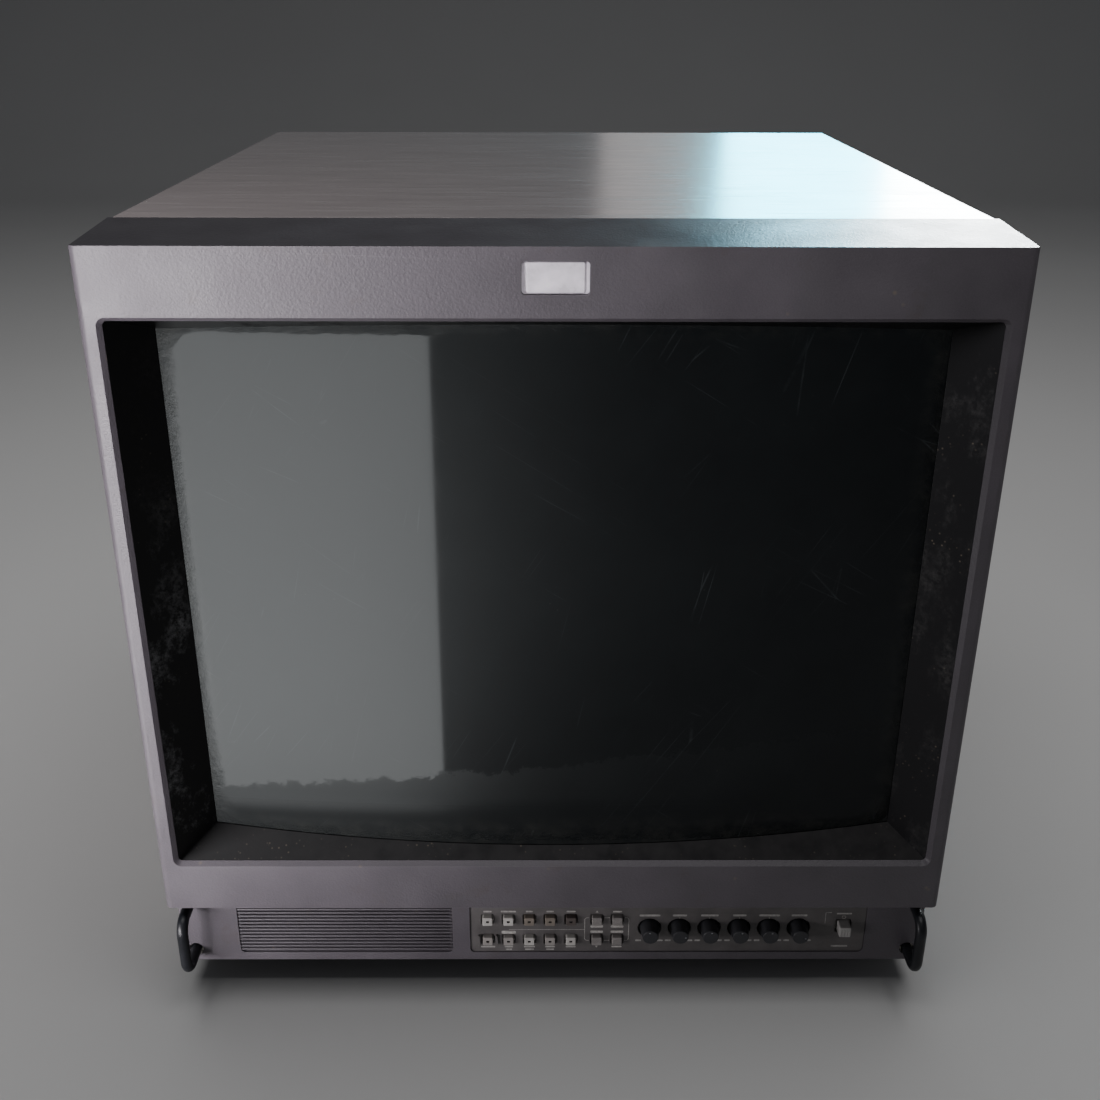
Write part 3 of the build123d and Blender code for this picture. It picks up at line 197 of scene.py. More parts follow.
def moulded_plastic(name, colour, grain=1.1, roughness=0.48, wear=0.5):
    """Plastic from a textured mould: fine pebbles, faint blotches, stains, rubbed edges; painted highlight
    on edges facing up; painted shade on the top strip.
    """
    r = Recipe(name)
    depth = 0.1
    cloud = r.noise(30, detail=5)
    speck = r.noise(grain * 0.6, detail=2)
    tone = r.mix(r.ramp(cloud, 0.3, 0.7), shade(colour, 0.84), shade(colour, 1.1))
    tone = r.mix(r.ramp(speck, 0.35, 0.75, 0.0, 0.2), tone, shade(colour, 1.9))
    stain = r.ramp(r.noise(16, detail=7, rough=0.65), 0.6, 0.78, 0, 0.45)
    brownish = (0.85, 0.72, 0.52)
    tone = r.mix(stain, tone, tuple(c * b for c, b in zip(colour, brownish)))
    edge = r.edges(0.9)
    rubbed = r.math("MULTIPLY", edge, r.ramp(r.noise(7, detail=6), 0.4, 0.72, 0, wear))
    # painted highlight: edges that face up are lightened as if they caught the light, so rubbed then holds
    # real wear and this painted highlight
    painted_edge_highlight = r.math("MULTIPLY", edge, r.ramp(r.facing("Z"), 0.1, 0.7, 0, 0.5))
    rubbed = r.math("MAXIMUM", rubbed, painted_edge_highlight)
    tone = r.mix(rubbed, tone, shade(colour, 2.1))
    spots = r.math("MULTIPLY", r.ramp(r.cells(11), 0.13, 0.05), r.ramp(r.noise(30, detail=3), 0.55, 0.66))
    dust = (0.2, 0.16, 0.11)
    tone = r.mix(r.math("MULTIPLY", spots, 0.5), tone, dust)
    r.bump(
        (r.noise(grain * 4, detail=3), depth * 0.9),
        (r.cells(grain, feature="SMOOTH_F1"), depth),
        (r.noise(grain * 0.5, detail=2), depth * 0.4),
    )
    matt = r.ramp(cloud, 0.2, 0.8, roughness - 0.06, roughness + 0.08)
    # the strip along the bezel's top, which faces up, is painted darker as shade, and is glossier
    upward = r.ramp(r.facing("Z"), 0.6, 0.9)
    near_roof = r.ramp(r.axis("Z"), ROOF_Z - 6 * MM, ROOF_Z - 4 * MM)
    top_strip_painted_shade = r.math("MULTIPLY", upward, near_roof)
    tone = r.mix(top_strip_painted_shade, tone, shade(colour, 0.45))
    return r.finish(tone, r.math("SUBTRACT", matt, r.math("MULTIPLY", top_strip_painted_shade, 0.12)))


def smooth_plastic(name, colour, roughness=0.35, wear=0.4):
    """Plain moulded plastic with finger wear on its edges."""
    r = Recipe(name)
    cloud = r.noise(8, detail=6)
    tone = r.mix(r.ramp(cloud, 0.3, 0.7), shade(colour, 0.85), shade(colour, 1.15))
    tone = r.mix(r.math("MULTIPLY", r.edges(0.35), wear), tone, shade(colour, 2.2))
    r.bump((r.noise(0.5, detail=2), 0.008), (cloud, 0.05))
    return r.finish(tone, r.ramp(cloud, 0.25, 0.75, roughness - 0.07, roughness + 0.1))


def mask_plastic(name):
    """Near-black plastic round the screen: wiped smears, settled dust, and scuffs low on the left wall."""
    r = Recipe(name, ior=1.28)
    colour = (0.0088, 0.0086, 0.0094)
    smear = r.ramp(r.noise(26, detail=8, rough=0.7, stretch=(1, 1, 0.6)), 0.5, 0.72, 0, 1.0)
    fine = r.ramp(r.noise(3, detail=6, rough=0.75), 0.4, 0.75)
    up = r.ramp(r.facing("Z"), 0.25, 0.95)
    lying = r.math("MULTIPLY", up, r.ramp(r.noise(14, detail=8, rough=0.6), 0.32, 0.75, 0.16, 0.5))
    specks = r.ramp(r.cells(3.4), 0.2, 0.06, 0, 0.9)
    specks = r.math("MULTIPLY", specks, r.ramp(r.noise(24, detail=3), 0.5, 0.66))
    dust = r.math("MAXIMUM", r.math("MULTIPLY", smear, fine), lying)
    tone = r.mix(dust, colour, (0.06, 0.0565, 0.055))
    low_left = r.math("MULTIPLY", r.ramp(r.facing("X"), 0.3, 0.6), r.ramp(r.axis("Z"), 0.34, 0.24))
    scuffed = r.math("MULTIPLY", r.math("MULTIPLY", smear, fine), low_left)
    tone = r.mix(scuffed, tone, (0.5, 0.5, 0.52))
    tone = r.mix(r.math("MULTIPLY", specks, 0.5), tone, (0.2, 0.165, 0.125))
    r.bump((r.noise(0.9, detail=3), 0.03))
    return r.finish(tone, r.ramp(dust, 0.0, 0.4, 0.34, 0.72))


def scratches(r, size, turn, seed):
    """Long thin lines that all run one way, each only part of the way."""
    away = (seed, 0, seed)
    lines = r.cells(size, feature="DISTANCE_TO_EDGE", stretch=(1, 1, 0.05), turn=(0, turn, 0), shift=away)
    thin = r.ramp(lines, 0.006, 0.0015)
    return r.math("MULTIPLY", thin, r.ramp(r.noise(42, detail=5, shift=away), 0.56, 0.68))


def screen_glass(name):
    """Dark polished glass: a thin film, fine scratches, dirt along its edges, grime below a ragged line."""
    r = Recipe(name, ior=1.2, coat=0.2, coat_roughness=0.42)
    film = r.noise(70, detail=9, rough=0.65, shift=(3, 1, 2))
    lines = r.math("MAXIMUM", scratches(r, 17, 34, 1.3), scratches(r, 23, -58, 4.1))
    lines = r.math("MAXIMUM", lines, scratches(r, 29, 12, 7.7))
    specks = r.ramp(r.cells(9), 0.07, 0.03, 0, 0.4)
    low, high = BEZEL_LOW.z + SCREEN_LOW * MM, BEZEL_LOW.z + SCREEN_HIGH * MM

    # how far out a point is: it reaches the corner radius at the edge of the glass that shows
    corner = 20 * MM
    off_x = r.math("SUBTRACT", r.math("ABSOLUTE", r.axis("X")), SCREEN_HALF * MM - corner)
    below = r.math("SUBTRACT", low + corner, r.axis("Z"))
    above = r.math("SUBTRACT", r.axis("Z"), high - corner)
    off_z = r.math("MAXIMUM", below, above)
    off_x, off_z = (r.math("POWER", r.math("MAXIMUM", off, 0.0), 2.0) for off in (off_x, off_z))
    out = r.math("SQRT", r.math("ADD", off_x, off_z))
    out = r.math("ADD", out, r.ramp(r.noise(7, detail=8, rough=0.7), 0.3, 0.7, -1 * MM, 1 * MM))
    rounded = r.math("POWER", r.ramp(out, corner - 8 * MM, corner + 6 * MM), 2.0)
    patchy = r.ramp(r.noise(11, detail=8, rough=0.7), 0.42, 0.72, 0, 0.3)
    border = r.math("MULTIPLY", r.ramp(out, corner - 12 * MM, corner), patchy)

    # grime lies below a ragged line that climbs a little to the right
    wander = r.ramp(r.noise(10, detail=12, rough=0.8), 0.25, 0.75, -8 * MM, 8 * MM)
    ragged = r.math("ADD", r.axis("Z"), wander)
    tide = r.math("ADD", low + 45 * MM, r.math("MULTIPLY", r.axis("X"), 0.11))
    grime = r.ramp(r.math("SUBTRACT", ragged, tide), 0.7 * MM, -0.7 * MM)
    grime = r.math("MULTIPLY", grime, r.ramp(r.axis("Z"), low + 4 * MM, low + 24 * MM))

    dirt = r.math("MAXIMUM", border, r.math("MULTIPLY", specks, r.ramp(film, 0.55, 0.7)))
    tone = r.mix(r.ramp(film, 0.35, 0.75), (0.0016, 0.0021, 0.0026), (0.0034, 0.0041, 0.0047))
    tone = r.mix(r.math("MULTIPLY", lines, 0.18), tone, (0.06, 0.065, 0.07))
    tone = r.mix(r.math("MULTIPLY", dirt, 0.6), tone, (0.05, 0.046, 0.04))
    rough = r.math("ADD", r.ramp(film, 0.3, 0.75, 0.03, 0.07), r.math("MULTIPLY", dirt, 0.35))
    rough = r.math("MAXIMUM", rough, r.math("MULTIPLY", grime, 0.4))
    r.bump((rounded, -2.6), (lines, 0.0015), soften=0.05)
    return r.finish(tone, r.math("ADD", rough, r.math("MULTIPLY", lines, 0.05)))


def cabinet_paint(name, colour):
    """Satin paint on sheet steel, with long wiped streaks and a few scuffs."""
    r = Recipe(name, ior=1.6)
    streak = r.noise(5, detail=6, rough=0.65, stretch=(0.09, 1, 1))
    broad = r.noise(60, detail=6, rough=0.6, stretch=(0.5, 1, 1))
    tone = r.mix(r.ramp(streak, 0.3, 0.72), shade(colour, 0.93), shade(colour, 1.08))
    tone = r.mix(r.ramp(broad, 0.35, 0.7, 0, 0.22), tone, shade(colour, 1.2))
    scuff = r.math("MULTIPLY", r.edges(0.8), r.ramp(r.noise(5, detail=7), 0.45, 0.7, 0, 0.7))
    tone = r.mix(scuff, tone, shade(colour, 2.6))
    r.bump((streak, 0.034), (r.noise(1.2, detail=3), 0.014))
    return r.finish(tone, r.ramp(streak, 0.3, 0.7, 0.2, 0.29))


def metal(name, colour, roughness=0.3):
    """Plated or bare metal with a fine grain and stains."""
    r = Recipe(name, metallic=1.0)
    grain = r.noise(1.2, detail=5)
    stain = r.noise(9, detail=7, rough=0.6)
    tone = r.mix(r.ramp(stain, 0.35, 0.72), colour, shade(colour, 0.72))
    r.bump((grain, 0.01))
    return r.finish(tone, r.ramp(grain, 0.3, 0.7, roughness - 0.08, roughness + 0.12))


def painted_rod(name):
    """Black paint on bent steel rod, a little greyer in patches."""
    r = Recipe(name, ior=1.4)
    cloud = r.noise(11, detail=7)
    tone = r.mix(r.ramp(cloud, 0.3, 0.75), (0.005, 0.0055, 0.007), (0.012, 0.013, 0.016))
    r.bump((r.noise(0.8, detail=3), 0.012))
    return r.finish(tone, r.ramp(cloud, 0.3, 0.7, 0.3, 0.46))


def woven(name, colour):
    """Open woven cloth behind the speaker bars."""
    r = Recipe(name)
    pitch = 0.7 * MM
    threads = []
    for letter in ("X", "Z"):
        wave = r.math("SINE", r.math("MULTIPLY", r.axis(letter), 2 * math.pi / pitch))
        threads.append(r.ramp(wave, -0.6, 1.0))
    weave = r.math("MULTIPLY", threads[0], threads[1])
    r.bump((weave, 0.12))
    return r.finish(r.mix(weave, shade(colour, 0.3), colour), 0.85)


def label_film(name):
    """Olive-black printed film with smudges and a rubbed rim."""
    r = Recipe(name)
    colour = (0.088, 0.081, 0.08)
    cloud = r.noise(13, detail=8, rough=0.65)
    tone = r.mix(r.ramp(cloud, 0.3, 0.72), shade(colour, 0.75), shade(colour, 1.3))
    tone = r.mix(r.math("MULTIPLY", r.edges(0.3), 0.15), tone, (0.17, 0.16, 0.145))
    smudge = r.ramp(r.noise(7, detail=8, rough=0.7, stretch=(1, 1, 2)), 0.62, 0.8, 0, 0.35)
    tone = r.mix(smudge, tone, (0.12, 0.1, 0.07))
    r.bump((r.noise(0.6, detail=3), 0.015))
    return r.finish(tone, r.ramp(cloud, 0.3, 0.7, 0.4, 0.55))


def circuit_board(name, letter, level):
    """Green board with paler tracks. Beyond the level along the axis are parts, black or pale grey."""
    r = Recipe(name)
    tracks = r.ramp(r.cells(5, feature="DISTANCE_TO_EDGE"), 0.05, 0.09)
    green = r.mix(tracks, (0.05, 0.16, 0.07), (0.015, 0.07, 0.03))
    kinds = r.noise(22, detail=1)
    parts = r.mix(r.ramp(kinds, 0.5, 0.52), (0.015, 0.015, 0.017), (0.3, 0.29, 0.27))
    above = r.ramp(r.axis(letter), level, level + 0.2 * MM)
    r.bump((tracks, 0.04))
    return r.finish(r.mix(above, green, parts), r.ramp(kinds, 0.4, 0.6, 0.3, 0.5))


def copper_windings(name):
    """Enamelled copper wire wound round the tube's axis on dark ferrite."""
    r = Recipe(name, coat=0.4)
    pitch = 1.1 * MM
    turns = r.math("SINE", r.math("MULTIPLY", r.axis("Y"), 2 * math.pi / pitch))
    tone = r.mix(r.ramp(turns, -0.5, 0.8), (0.11, 0.03, 0.012), (0.42, 0.15, 0.06))
    r.bump((turns, 0.15))
    return r.finish(tone, r.ramp(r.noise(12), 0.3, 0.7, 0.25, 0.4))


def paint_nodes():
    """Gives every CAD node its material."""
    board_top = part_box("main_board")[0].z + 9.6 * MM  # a board's face, past which its parts stand
    neck_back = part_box("neck_board")[0].y + 8.6 * MM
    dark_grey = (0.0775, 0.069, 0.079)
    zinc = metal("zinc_plate", (0.62, 0.6, 0.53), 0.36)
    board = circuit_board("boards", "Z", board_top)
    black = smooth_plastic("black_plastic", (0.011, 0.011, 0.012), 0.33)
    light, middle, brown, dark = (
        smooth_plastic(f"cap_{name}", colour, 0.42)
        for name, colour in (
            ("light", (0.4, 0.385, 0.36)),
            ("middle", (0.27, 0.25, 0.235)),
            ("brown", (0.17, 0.145, 0.12)),
            ("dark", (0.075, 0.06, 0.055)),
        )
    )
    chosen = {
        "front_bezel": moulded_plastic("bezel_plastic", dark_grey),
        "control_fascia": moulded_plastic("fascia_plastic", dark_grey, wear=0.3),
        "screen_mask": mask_plastic("mask_plastic"),
        "tube_faceplate": screen_glass("screen_glass"),
        "tally_lens": smooth_plastic("tally_lens", (0.9, 0.855, 0.92), 0.3, wear=0.1),
        "tally_lamp_board": circuit_board("tally_board", "Y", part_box("tally_lamp_board")[0].y),
        "speaker_grille": moulded_plastic("grille_plastic", shade(dark_grey, 0.72), grain=0.6, wear=0.2),
        "grille_cloth": woven("speaker_cloth", (0.075, 0.072, 0.076)),
        "speaker": metal("speaker_frame", (0.3, 0.3, 0.31), 0.4),
        "label_plate": label_film("label_film"),
        "button_board": circuit_board("button_board", "Y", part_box("button_board")[0].y),
        "potentiometers": metal("pot_cans", (0.6, 0.6, 0.6), 0.3),
        "power_button": smooth_plastic("power_cap", (0.36, 0.35, 0.335), 0.4),
        "power_switch_body": black,
        "handle_left": painted_rod("handle_paint"),
        "handle_brackets": zinc,
        "machine_screws": zinc,
        "cabinet_screws": metal("black_screws", (0.06, 0.06, 0.065), 0.35),
        "cabinet_cover": cabinet_paint("cabinet_paint", (0.1, 0.087, 0.0855)),
        "base_tray": zinc,
        "connector_panel": cabinet_paint("panel_paint", (0.045, 0.045, 0.048)),
        "bnc_jacks": metal("nickel", (0.72, 0.69, 0.63), 0.18),
        "audio_jacks": metal("jack_gold", (0.75, 0.58, 0.28), 0.22),
        "ac_inlet": black,
        "feet": moulded_plastic("foot_rubber", (0.018, 0.018, 0.019), grain=1.4, roughness=0.75),
        "tube_funnel": moulded_plastic("graphite_coat", (0.02, 0.02, 0.022), roughness=0.55),
        "aperture_grille": metal("black_steel", (0.09, 0.09, 0.09), 0.4),
        "electron_gun": metal("gun_steel", (0.6, 0.6, 0.6), 0.2),
        "rim_band": zinc,
        "degauss_coil": woven("coil_tape", (0.03, 0.03, 0.03)),
        "deflection_yoke": copper_windings("windings"),
        "convergence_rings": smooth_plastic("ring_plastic", (0.05, 0.05, 0.055), 0.4),
        "neck_board": circuit_board("neck_board", "Y", neck_back),
        "anode_lead": smooth_plastic("silicone_lead", (0.22, 0.02, 0.015), 0.45, wear=0.0),
        "flyback_transformer": smooth_plastic("potting", (0.012, 0.012, 0.012), 0.25),
        "main_board": board,
        "power_board": board,
        "inner_wiring": smooth_plastic("wire_jacket", (0.05, 0.05, 0.055), 0.4, wear=0.0),
    }
    chosen["handle_right"] = chosen["handle_left"]
    chosen["rear_cover"] = chosen["cabinet_cover"]
    caps = dict(zip(BUTTONS, (light, light, brown, brown, dark, middle, middle, light, middle, light)))
    chosen.update(caps)
    menu_cap = smooth_plastic("cap_menu", (0.22, 0.205, 0.195), 0.45)
    chosen.update({name: menu_cap for name in MENU_BUTTONS})
    knob = smooth_plastic("knob_plastic", (0.024, 0.0245, 0.028), 0.42, wear=0.35)
    chosen.update({name: knob for name in KNOBS})
    for name, node in NODES.items():
        node.data.materials.clear()
        node.data.materials.append(chosen[name])


paint_nodes()


# ---------------------------------------------------------------- small pieces that CAD leaves out
# Lengths in this part are millimetres: x from the middle, height above the bezel's lower edge.
PLATE_DEPTH = 16.8  # the label plate's face, behind the bezel's face
PRINT = 0.06  # how far a printed mark stands off its panel


def spot(x, depth, height):
    """A point from its place across, behind the bezel's face and above its lower edge, in millimetres."""
    return Vector((x * MM, BEZEL_LOW.y + depth * MM, BEZEL_LOW.z + height * MM))


def piece(name, shape, material, body):
    """Turns a finished bmesh into an object that rides on a body and takes a material slot's finish."""
    mesh = bpy.data.meshes.new(name)
    shape.to_mesh(mesh)
    shape.free()
    made = bpy.data.objects.new(name, mesh)
    mesh.materials.append(material)
    bpy.context.scene.collection.objects.link(made)
    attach(made, body)


def prism(shape, outline, depth, thick):
    """Adds a thin upright plate with this outline of (x, height), its front face at the depth."""
    rings = []
    for place in (depth, depth + thick):
        rings.append([shape.verts.new(spot(x, place, height)) for x, height in outline])
    shape.faces.new(rings[0])
    shape.faces.new(reversed(rings[1]))
    count = len(outline)
    for i in range(count):
        j = (i + 1) % count
        shape.faces.new((rings[0][j], rings[0][i], rings[1][i], rings[1][j]))


def bar(shape, x, height, width, tall, depth=PLATE_DEPTH - PRINT, thick=PRINT):
    """A printed bar with cut corners."""
    w, h = width / 2, tall / 2
    c = min(w, h) * 0.45
    outline = [(-w + c, -h), (w - c, -h), (w, -h + c), (w, h - c)]
    outline += [(w - c, h), (-w + c, h), (-w, h - c), (-w, -h + c)]
    prism(shape, [(x + a, height + b) for a, b in outline], depth, thick)


def disc(shape, x, height, radius, depth=PLATE_DEPTH - PRINT, thick=PRINT, steps=20):
    """A printed dot."""
    turns = [2 * math.pi * i / steps for i in range(steps)]
    prism(shape, [(x + radius * math.cos(a), height + radius * math.sin(a)) for a in turns], depth, thick)


def ring(shape, x, height, radius, width, start=0.0, sweep=360.0, steps=28):
    """A printed arc, from an angle measured anticlockwise from the right."""
    for i in range(steps):
        a, b = (math.radians(start + sweep * (i + k) / steps) for k in (0, 1))
        near, far = radius - width / 2, radius + width / 2
        corners = ((near, a), (far, a), (far, b), (near, b))
        outline = [(x + r * math.cos(t), height + r * math.sin(t)) for r, t in corners]
        prism(shape, outline, PLATE_DEPTH - PRINT, PRINT)


def triangle(shape, x, height, size):
    """A printed triangle that points up, or down where its size is negative."""
    half, rise = abs(size), size * 0.8
    outline = [(x - half, height - rise), (x + half, height - rise), (x, height + rise)]
    if size < 0:
        outline.reverse()
    prism(shape, outline, PLATE_DEPTH - PRINT, PRINT)


def printed_ink(name, colour):
    """Ink that has worn thin in places."""
    r = Recipe(name)
    worn = r.ramp(r.noise(1.6, detail=6, rough=0.7), 0.3, 0.65)
    tone = r.mix(worn, shade(colour, 0.45), colour)
    return r.finish(tone, r.ramp(r.noise(5), 0.3, 0.7, 0.5, 0.62))


BUTTON_X = [-38.8 + 12.55 * i for i in range(5)]
KNOB_X = [58.9 + 18 * i for i in range(6)]
MENU_X = (27.0, 39.3)
MENU_MIDDLE = 33.15
POWER_X = 175.8
LEGEND = 1.1  # how tall a bar is that stands for small print
KNOB_LEGEND, KNOB_END = 1.4, 1.2  # the same over a knob, and at the ends of its scale
LINE, THIN_LINE = 0.34, 0.3


def add_panel_print():
    """Dim bars, dots and lines stand for the small print over and under the controls."""
    dim = printed_ink("ink_dim", (0.42, 0.405, 0.385))
    shape = bmesh.new()
    for x, width in zip(BUTTON_X, (5.0, 9.0, 4.0, 4.4, 5.4)):
        bar(shape, x, -16.7, width, LEGEND)
    for x, width, rows in zip(BUTTON_X, (8.6, 5.0, 6.6, 6.0, 6.0), (1, 2, 2, 2, 1)):
        for row in range(rows):
            bar(shape, x, -43.4 - 2.0 * row, width - 1.2 * row, LEGEND)
    bar(shape, -3.15, -30.3, 45.7, THIN_LINE)

    scale_end = 6.6
    for x, width in zip(KNOB_X, (12.5, 8.5, 10.5, 8.0, 12.5, 9.5)):
        bar(shape, x, -19.7, width, KNOB_LEGEND)
        bar(shape, x - scale_end, -38.6, 3.4, KNOB_END)
        bar(shape, x + scale_end, -38.6, 3.4, KNOB_END)
    for x in KNOB_X[1:5]:
        disc(shape, x, -21.75, 0.36)

    bar(shape, 166.4, -17.6, 3.6, THIN_LINE)
    bar(shape, 164.7, -21.6, THIN_LINE, 8.2)
    bar(shape, POWER_X, -18.4, 9.0, LEGEND)
    bar(shape, POWER_X - 1.0, -43.0, 10.0, 1.2)
    piece("panel_print", shape, dim, BODY)


def add_panel_symbols():
    """Brighter bars, the frame round the menu buttons, two triangles and the power ring."""
    pale = printed_ink("ink_pale", (0.5, 0.48, 0.45))
    shape = bmesh.new()
    bar(shape, -26.2, -32.4, 8.6, 2.2)
    for x in MENU_X:
        for height in (-28.0, -32.0):
            bar(shape, x, height, 7.6, 1.7)

    left, right, low, high, corner = 19.7, 46.3, -38.6, -21.4, 1.6
    for x in (left, right):
        bar(shape, x, (low + high) / 2, LINE, high - low - 2 * corner)
    caps_left, caps_right = 22.4, 43.9
    for height in (low, high):
        bar(shape, (left + caps_left) / 2 + 0.4, height, 1.6, LINE)
        bar(shape, (right + caps_right) / 2 - 0.4, height, 1.6, LINE)
    for x, height, start in (
        (right - corner, high - corner, 0),
        (left + corner, high - corner, 90),
        (left + corner, low + corner, 180),
        (right - corner, low + corner, 270),
    ):
        ring(shape, x, height, corner, LINE, start, 90, steps=6)
    bar(shape, MENU_MIDDLE, high, 3.2, LINE)
    bar(shape, MENU_MIDDLE, low, 3.2, LINE)

    above, under = -16.8, -43.4
    triangle(shape, MENU_X[0], above, 0.9)
    triangle(shape, MENU_X[0], under, -0.9)
    bar(shape, MENU_X[1], above, 5.4, LEGEND)
    bar(shape, MENU_X[1], under, 6.2, LEGEND)
    ring(shape, POWER_X, -21.0, 1.15, 0.32, 115, 310)
    bar(shape, POWER_X, -20.3, LINE, 1.3)
    piece("panel_symbols", shape, pale, BODY)


def front_centre(node):
    """Where the middle of a node's front is: x, height and depth."""
    low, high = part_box(node)
    x, height = (low.x + high.x) / 2 / MM, ((low.z + high.z) / 2 - BEZEL_LOW.z) / MM
    return x, height, (low.y - BEZEL_LOW.y) / MM


def add_lamp_windows():
    """A small dark lens sits in each cap of the two rows."""
    lens = smooth_plastic("window_lens", (0.012, 0.01, 0.009), 0.22, wear=0.0)
    for name in BUTTONS:
        x, height, front = front_centre(name)
        shape = bmesh.new()
        bar(shape, x, height, 1.8, 1.4, depth=front + 0.3, thick=0.28)
        bar(shape, x, height, 1.2, 0.9, depth=front + 0.22, thick=0.08)  # its smaller raised face
        piece(f"{body_of(name)}_window", shape, lens, body_of(name))


KNOB_POINTERS = (-10, 95, 10, 15, 15, 110)  # degrees clockwise from the top
DIMPLE_OFF_CENTRE = 3.1
DIMPLE_RADIUS = 0.56


def add_pointers():
    """A pale disc in the dimple of each knob: a painted highlight, standing for the light that the dimple
    catches.
    """
    # painted highlight: this pale material stands for light caught in the dimple
    paint = smooth_plastic("pointer_highlight_paint", (0.3, 0.31, 0.33), 0.4, wear=0.0)
    for name, angle in zip(KNOBS, KNOB_POINTERS):
        x, height, front = front_centre(name)
        turn = math.radians(angle)
        x += DIMPLE_OFF_CENTRE * math.sin(turn)
        height += DIMPLE_OFF_CENTRE * math.cos(turn)
        shape = bmesh.new()
        disc(shape, x, height, DIMPLE_RADIUS, depth=front + 0.24, thick=0.14, steps=16)
        piece(f"{body_of(name)}_pointer", shape, paint, body_of(name))


def add_rear_print():
    """Bars and group lines stand for the print round the sockets."""
    ink = printed_ink("ink_rear", (0.42, 0.41, 0.39))
    depth = (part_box("connector_panel")[1].y - BEZEL_LOW.y) / MM
    over, upper_line, lower_line, group_name = 36.5, 41.0, -16.0, -20.0
    shape = bmesh.new()
    for i in range(7):
        bar(shape, -150 + 22 * i, over, 9 if i % 2 else 6, 1.6, depth, PRINT)
    for i in range(4):
        bar(shape, 17 + 18 * i, over, 7, 1.6, depth, PRINT)
    for x, width in ((-84, 150), (44, 68)):
        bar(shape, x, upper_line, width, 0.5, depth, PRINT)
        bar(shape, x, lower_line, width, 0.5, depth, PRINT)
        bar(shape, x, group_name, width * 0.3, 2.0, depth, PRINT)
    bar(shape, 128, 33.0, 22, 1.8, depth, PRINT)
    piece("rear_print", shape, ink, BODY)


add_panel_print()
add_panel_symbols()
add_lamp_windows()
add_pointers()
add_rear_print()


# ---------------------------------------------------------------- camera, lights and floor
EYE = Vector((-0.00507, -0.82905, 0.56026))
YAW, DIP, ROLL = math.radians(0.303), math.radians(23.828), math.radians(0.166)
SENSOR_MM, LENS_MM = 36.0, 41.09


def add_camera():
    """The photograph's viewpoint, solved from the object's corners."""
    data = bpy.data.cameras.new("camera")
    data.sensor_width = SENSOR_MM
    data.lens = LENS_MM
    data.clip_start = 0.02
    forward = Vector((math.sin(YAW) * math.cos(DIP), math.cos(YAW) * math.cos(DIP), -math.sin(DIP)))
    level_right = Vector((math.cos(YAW), -math.sin(YAW), 0))
    level_up = level_right.cross(forward)
    right = math.cos(ROLL) * level_right + math.sin(ROLL) * level_up
    up = right.cross(forward)
    camera = bpy.data.objects.new("camera", data)
    turn = Matrix((right, up, -forward)).transposed()
    camera.matrix_world = Matrix.Translation(EYE) @ turn.to_4x4()
    bpy.context.scene.collection.objects.link(camera)
    bpy.context.scene.camera = camera


def area_light(name, place, target, size, power, colour=(1, 1, 1), only=None, spread=180, turn=0):
    """A soft box that faces its target, then turns about the upright. With only, it lights just those."""
    data = bpy.data.lights.new(name, "AREA")
    data.shape = "RECTANGLE"
    data.size, data.size_y = size
    data.energy = power
    data.color = colour
    data.spread = math.radians(spread)
    light = bpy.data.objects.new(name, data)
    light.location = place
    facing = (Vector(target) - Vector(place)).to_track_quat("-Z", "Y")
    light.rotation_euler = (Quaternion((0, 0, 1), math.radians(turn)) @ facing).to_euler()
    light.visible_camera = False
    bpy.context.scene.collection.objects.link(light)
    if only:
        receivers = bpy.data.collections.new(name + "_receivers")
        for item in only:
            receivers.objects.link(item)
        light.light_linking.receiver_collection = receivers


def add_floor():
    """A pale paper sweep: level under the object, curving up into a wall far behind it."""
    reach, bend_start, bend_radius, wall_top, bend_steps = 16.0, 3.0, 1.2, 9.0, 12
    profile = [(-reach, 0.0), (bend_start, 0.0)]
    for i in range(1, bend_steps + 1):
        turn = math.radians(90 * i / bend_steps)
        profile.append((bend_start + bend_radius * math.sin(turn), bend_radius * (1 - math.cos(turn))))
    profile.append((bend_start + bend_radius, wall_top))
    shape = bmesh.new()
    rows = [[shape.verts.new((x, y, z)) for y, z in profile] for x in (-reach, reach)]
    for i in range(len(profile) - 1):
        shape.faces.new((rows[0][i], rows[1][i], rows[1][i + 1], rows[0][i + 1])).smooth = True
    mesh = bpy.data.meshes.new("floor")
    shape.to_mesh(mesh)
    shape.free()
    floor = bpy.data.objects.new("floor", mesh)
    bpy.context.scene.collection.objects.link(floor)
    r = Recipe("floor_paper")
    tone = r.mix(r.ramp(r.noise(900, detail=3), 0.3, 0.7), (0.53, 0.525, 0.52), (0.56, 0.555, 0.55))
    floor.data.materials.append(r.finish(tone, 0.8))
    return floor


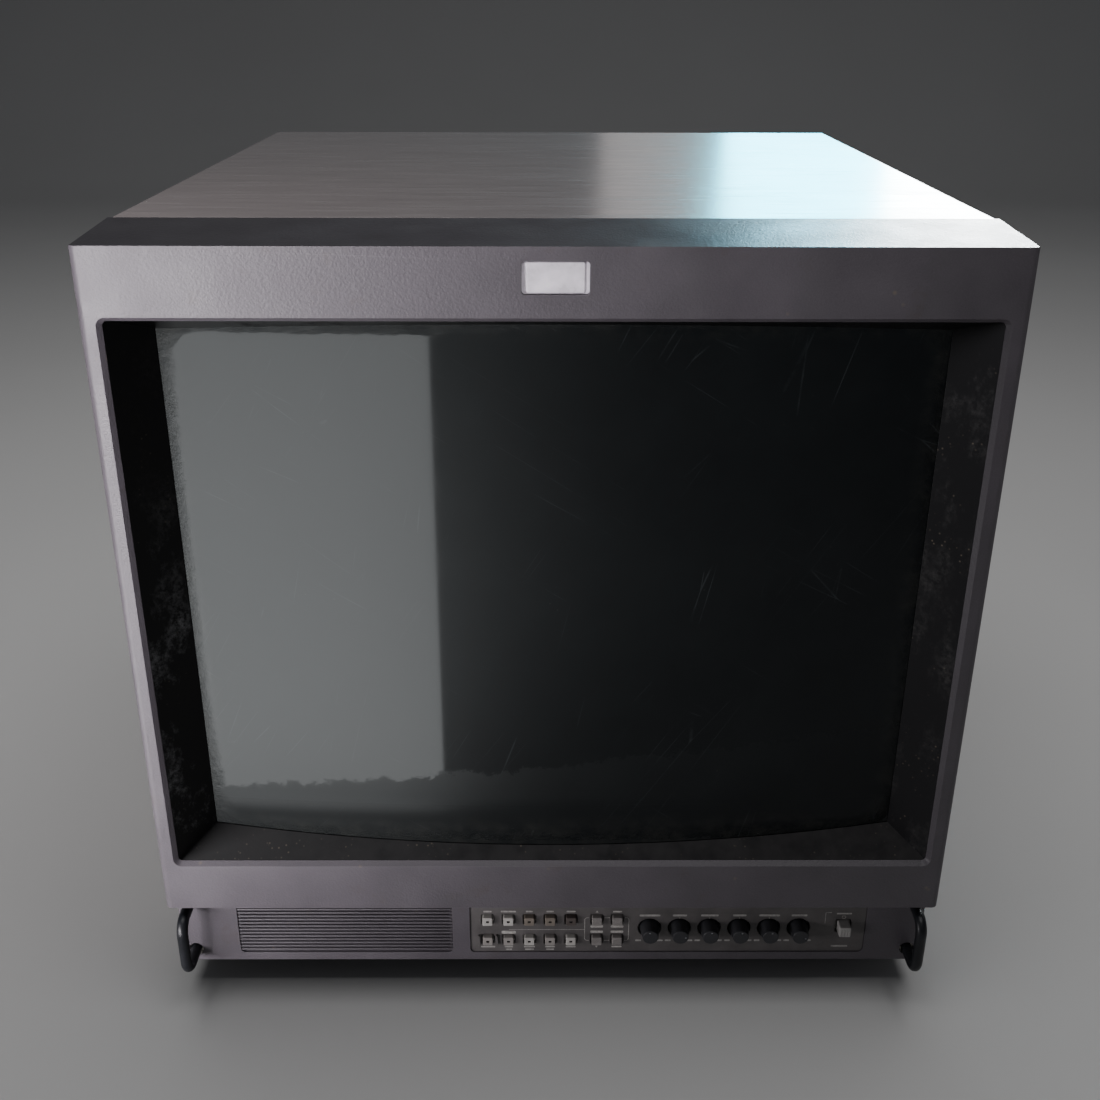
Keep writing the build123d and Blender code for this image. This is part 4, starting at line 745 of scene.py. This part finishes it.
def add_studio():
    """A faint even sky, the floor, and soft boxes for the lamps and windows of the photograph's room."""
    world = bpy.data.worlds.new("studio")
    world.use_nodes = True
    world.node_tree.nodes["Background"].inputs["Color"].default_value = (0.62, 0.64, 0.68, 1)
    world.node_tree.nodes["Background"].inputs["Strength"].default_value = 0.12
    bpy.context.scene.world = world

    model = [item for item in bpy.data.objects if item.type == "MESH"]
    names = ("tube_faceplate", "screen_mask", "cabinet_cover", "front_bezel")
    glass, mask, cover, bezel = (NODES[name] for name in names)
    outside = [item for item in model if item not in (glass, mask)]
    open_to_sky = [item for item in model if item != mask] + [add_floor()]

    # what the whole object is lit by; the glass and the mask would mirror the key, so it passes them by
    area_light("ceiling", (0, -0.1, 2.3), (0, 0, 0), (2.0, 2.0), 22.5, only=open_to_sky, spread=150)
    place, target, tint = (-0.611, -1.175, 0.231), (-0.381, -0.24, 0.387), (1, 0.95, 1.0)
    area_light("key", place, target, (0.21, 0.55), 3.45, tint, outside, spread=50)
    place, target, tint = (-0.42, -0.46, 0.12), (-0.2, -0.24, 0.1), (1, 0.97, 1)
    area_light("low_fill", place, target, (0.16, 0.12), 0.42, tint, outside, spread=90)
    place, target = (0.1, -0.9, 0.75), (0.08, -0.24, 0.46)
    area_light("top_fill", place, target, (0.3, 0.2), 0.11, tint, outside, spread=45)

    # the dark walls round the screen, and the cover's near left corner
    place, target, tint = (-0.75, -0.55, 0.75), (0, -0.24, 0.25), (1, 0.99, 1.02)
    area_light("recess", place, target, (0.3, 0.3), 9, tint, only=[mask])
    place, target, tint = (-0.5, -0.5, 0.62), (-0.2, -0.2, 0.45), (1, 0.95, 0.97)
    area_light("corner", place, target, (0.15, 0.15), 8, tint, only=[cover])

    # what the roof mirrors from behind, in a row from a dull card to a blue window and the bright sky
    behind, level, tall = 1.5, 0.8, 0.46
    for name, x, aim_x, wide, power, tint, lit in (
        ("card", 0.205, 0.205, 0.215, 0.24, (1, 0.9, 0.88), [cover]),
        ("window", 0.47, 0.47, 0.3, 14, (0.14, 0.76, 1.0), [cover]),
        ("sill", 0.52, 0.52, 0.22, 7, (0.3, 0.78, 1.0), [bezel]),
        ("skylight", 1.0, 0.9, 0.76, 60, (0.93, 0.98, 1.0), model),
    ):
        area_light(name, (x, behind, level), (aim_x, 0, 0.5), (wide, tall), power, tint, only=lit)

    # the bright patch that the glass mirrors at its left
    x, y, z = -0.703, -1.086, 0.008
    size, tint = (1.0, 1.48), (0.955, 0.99, 1.0)
    area_light("panel", (x, y, z), (x, y, 1), size, 51, tint, only=[glass], turn=-9)


add_camera()
add_studio()
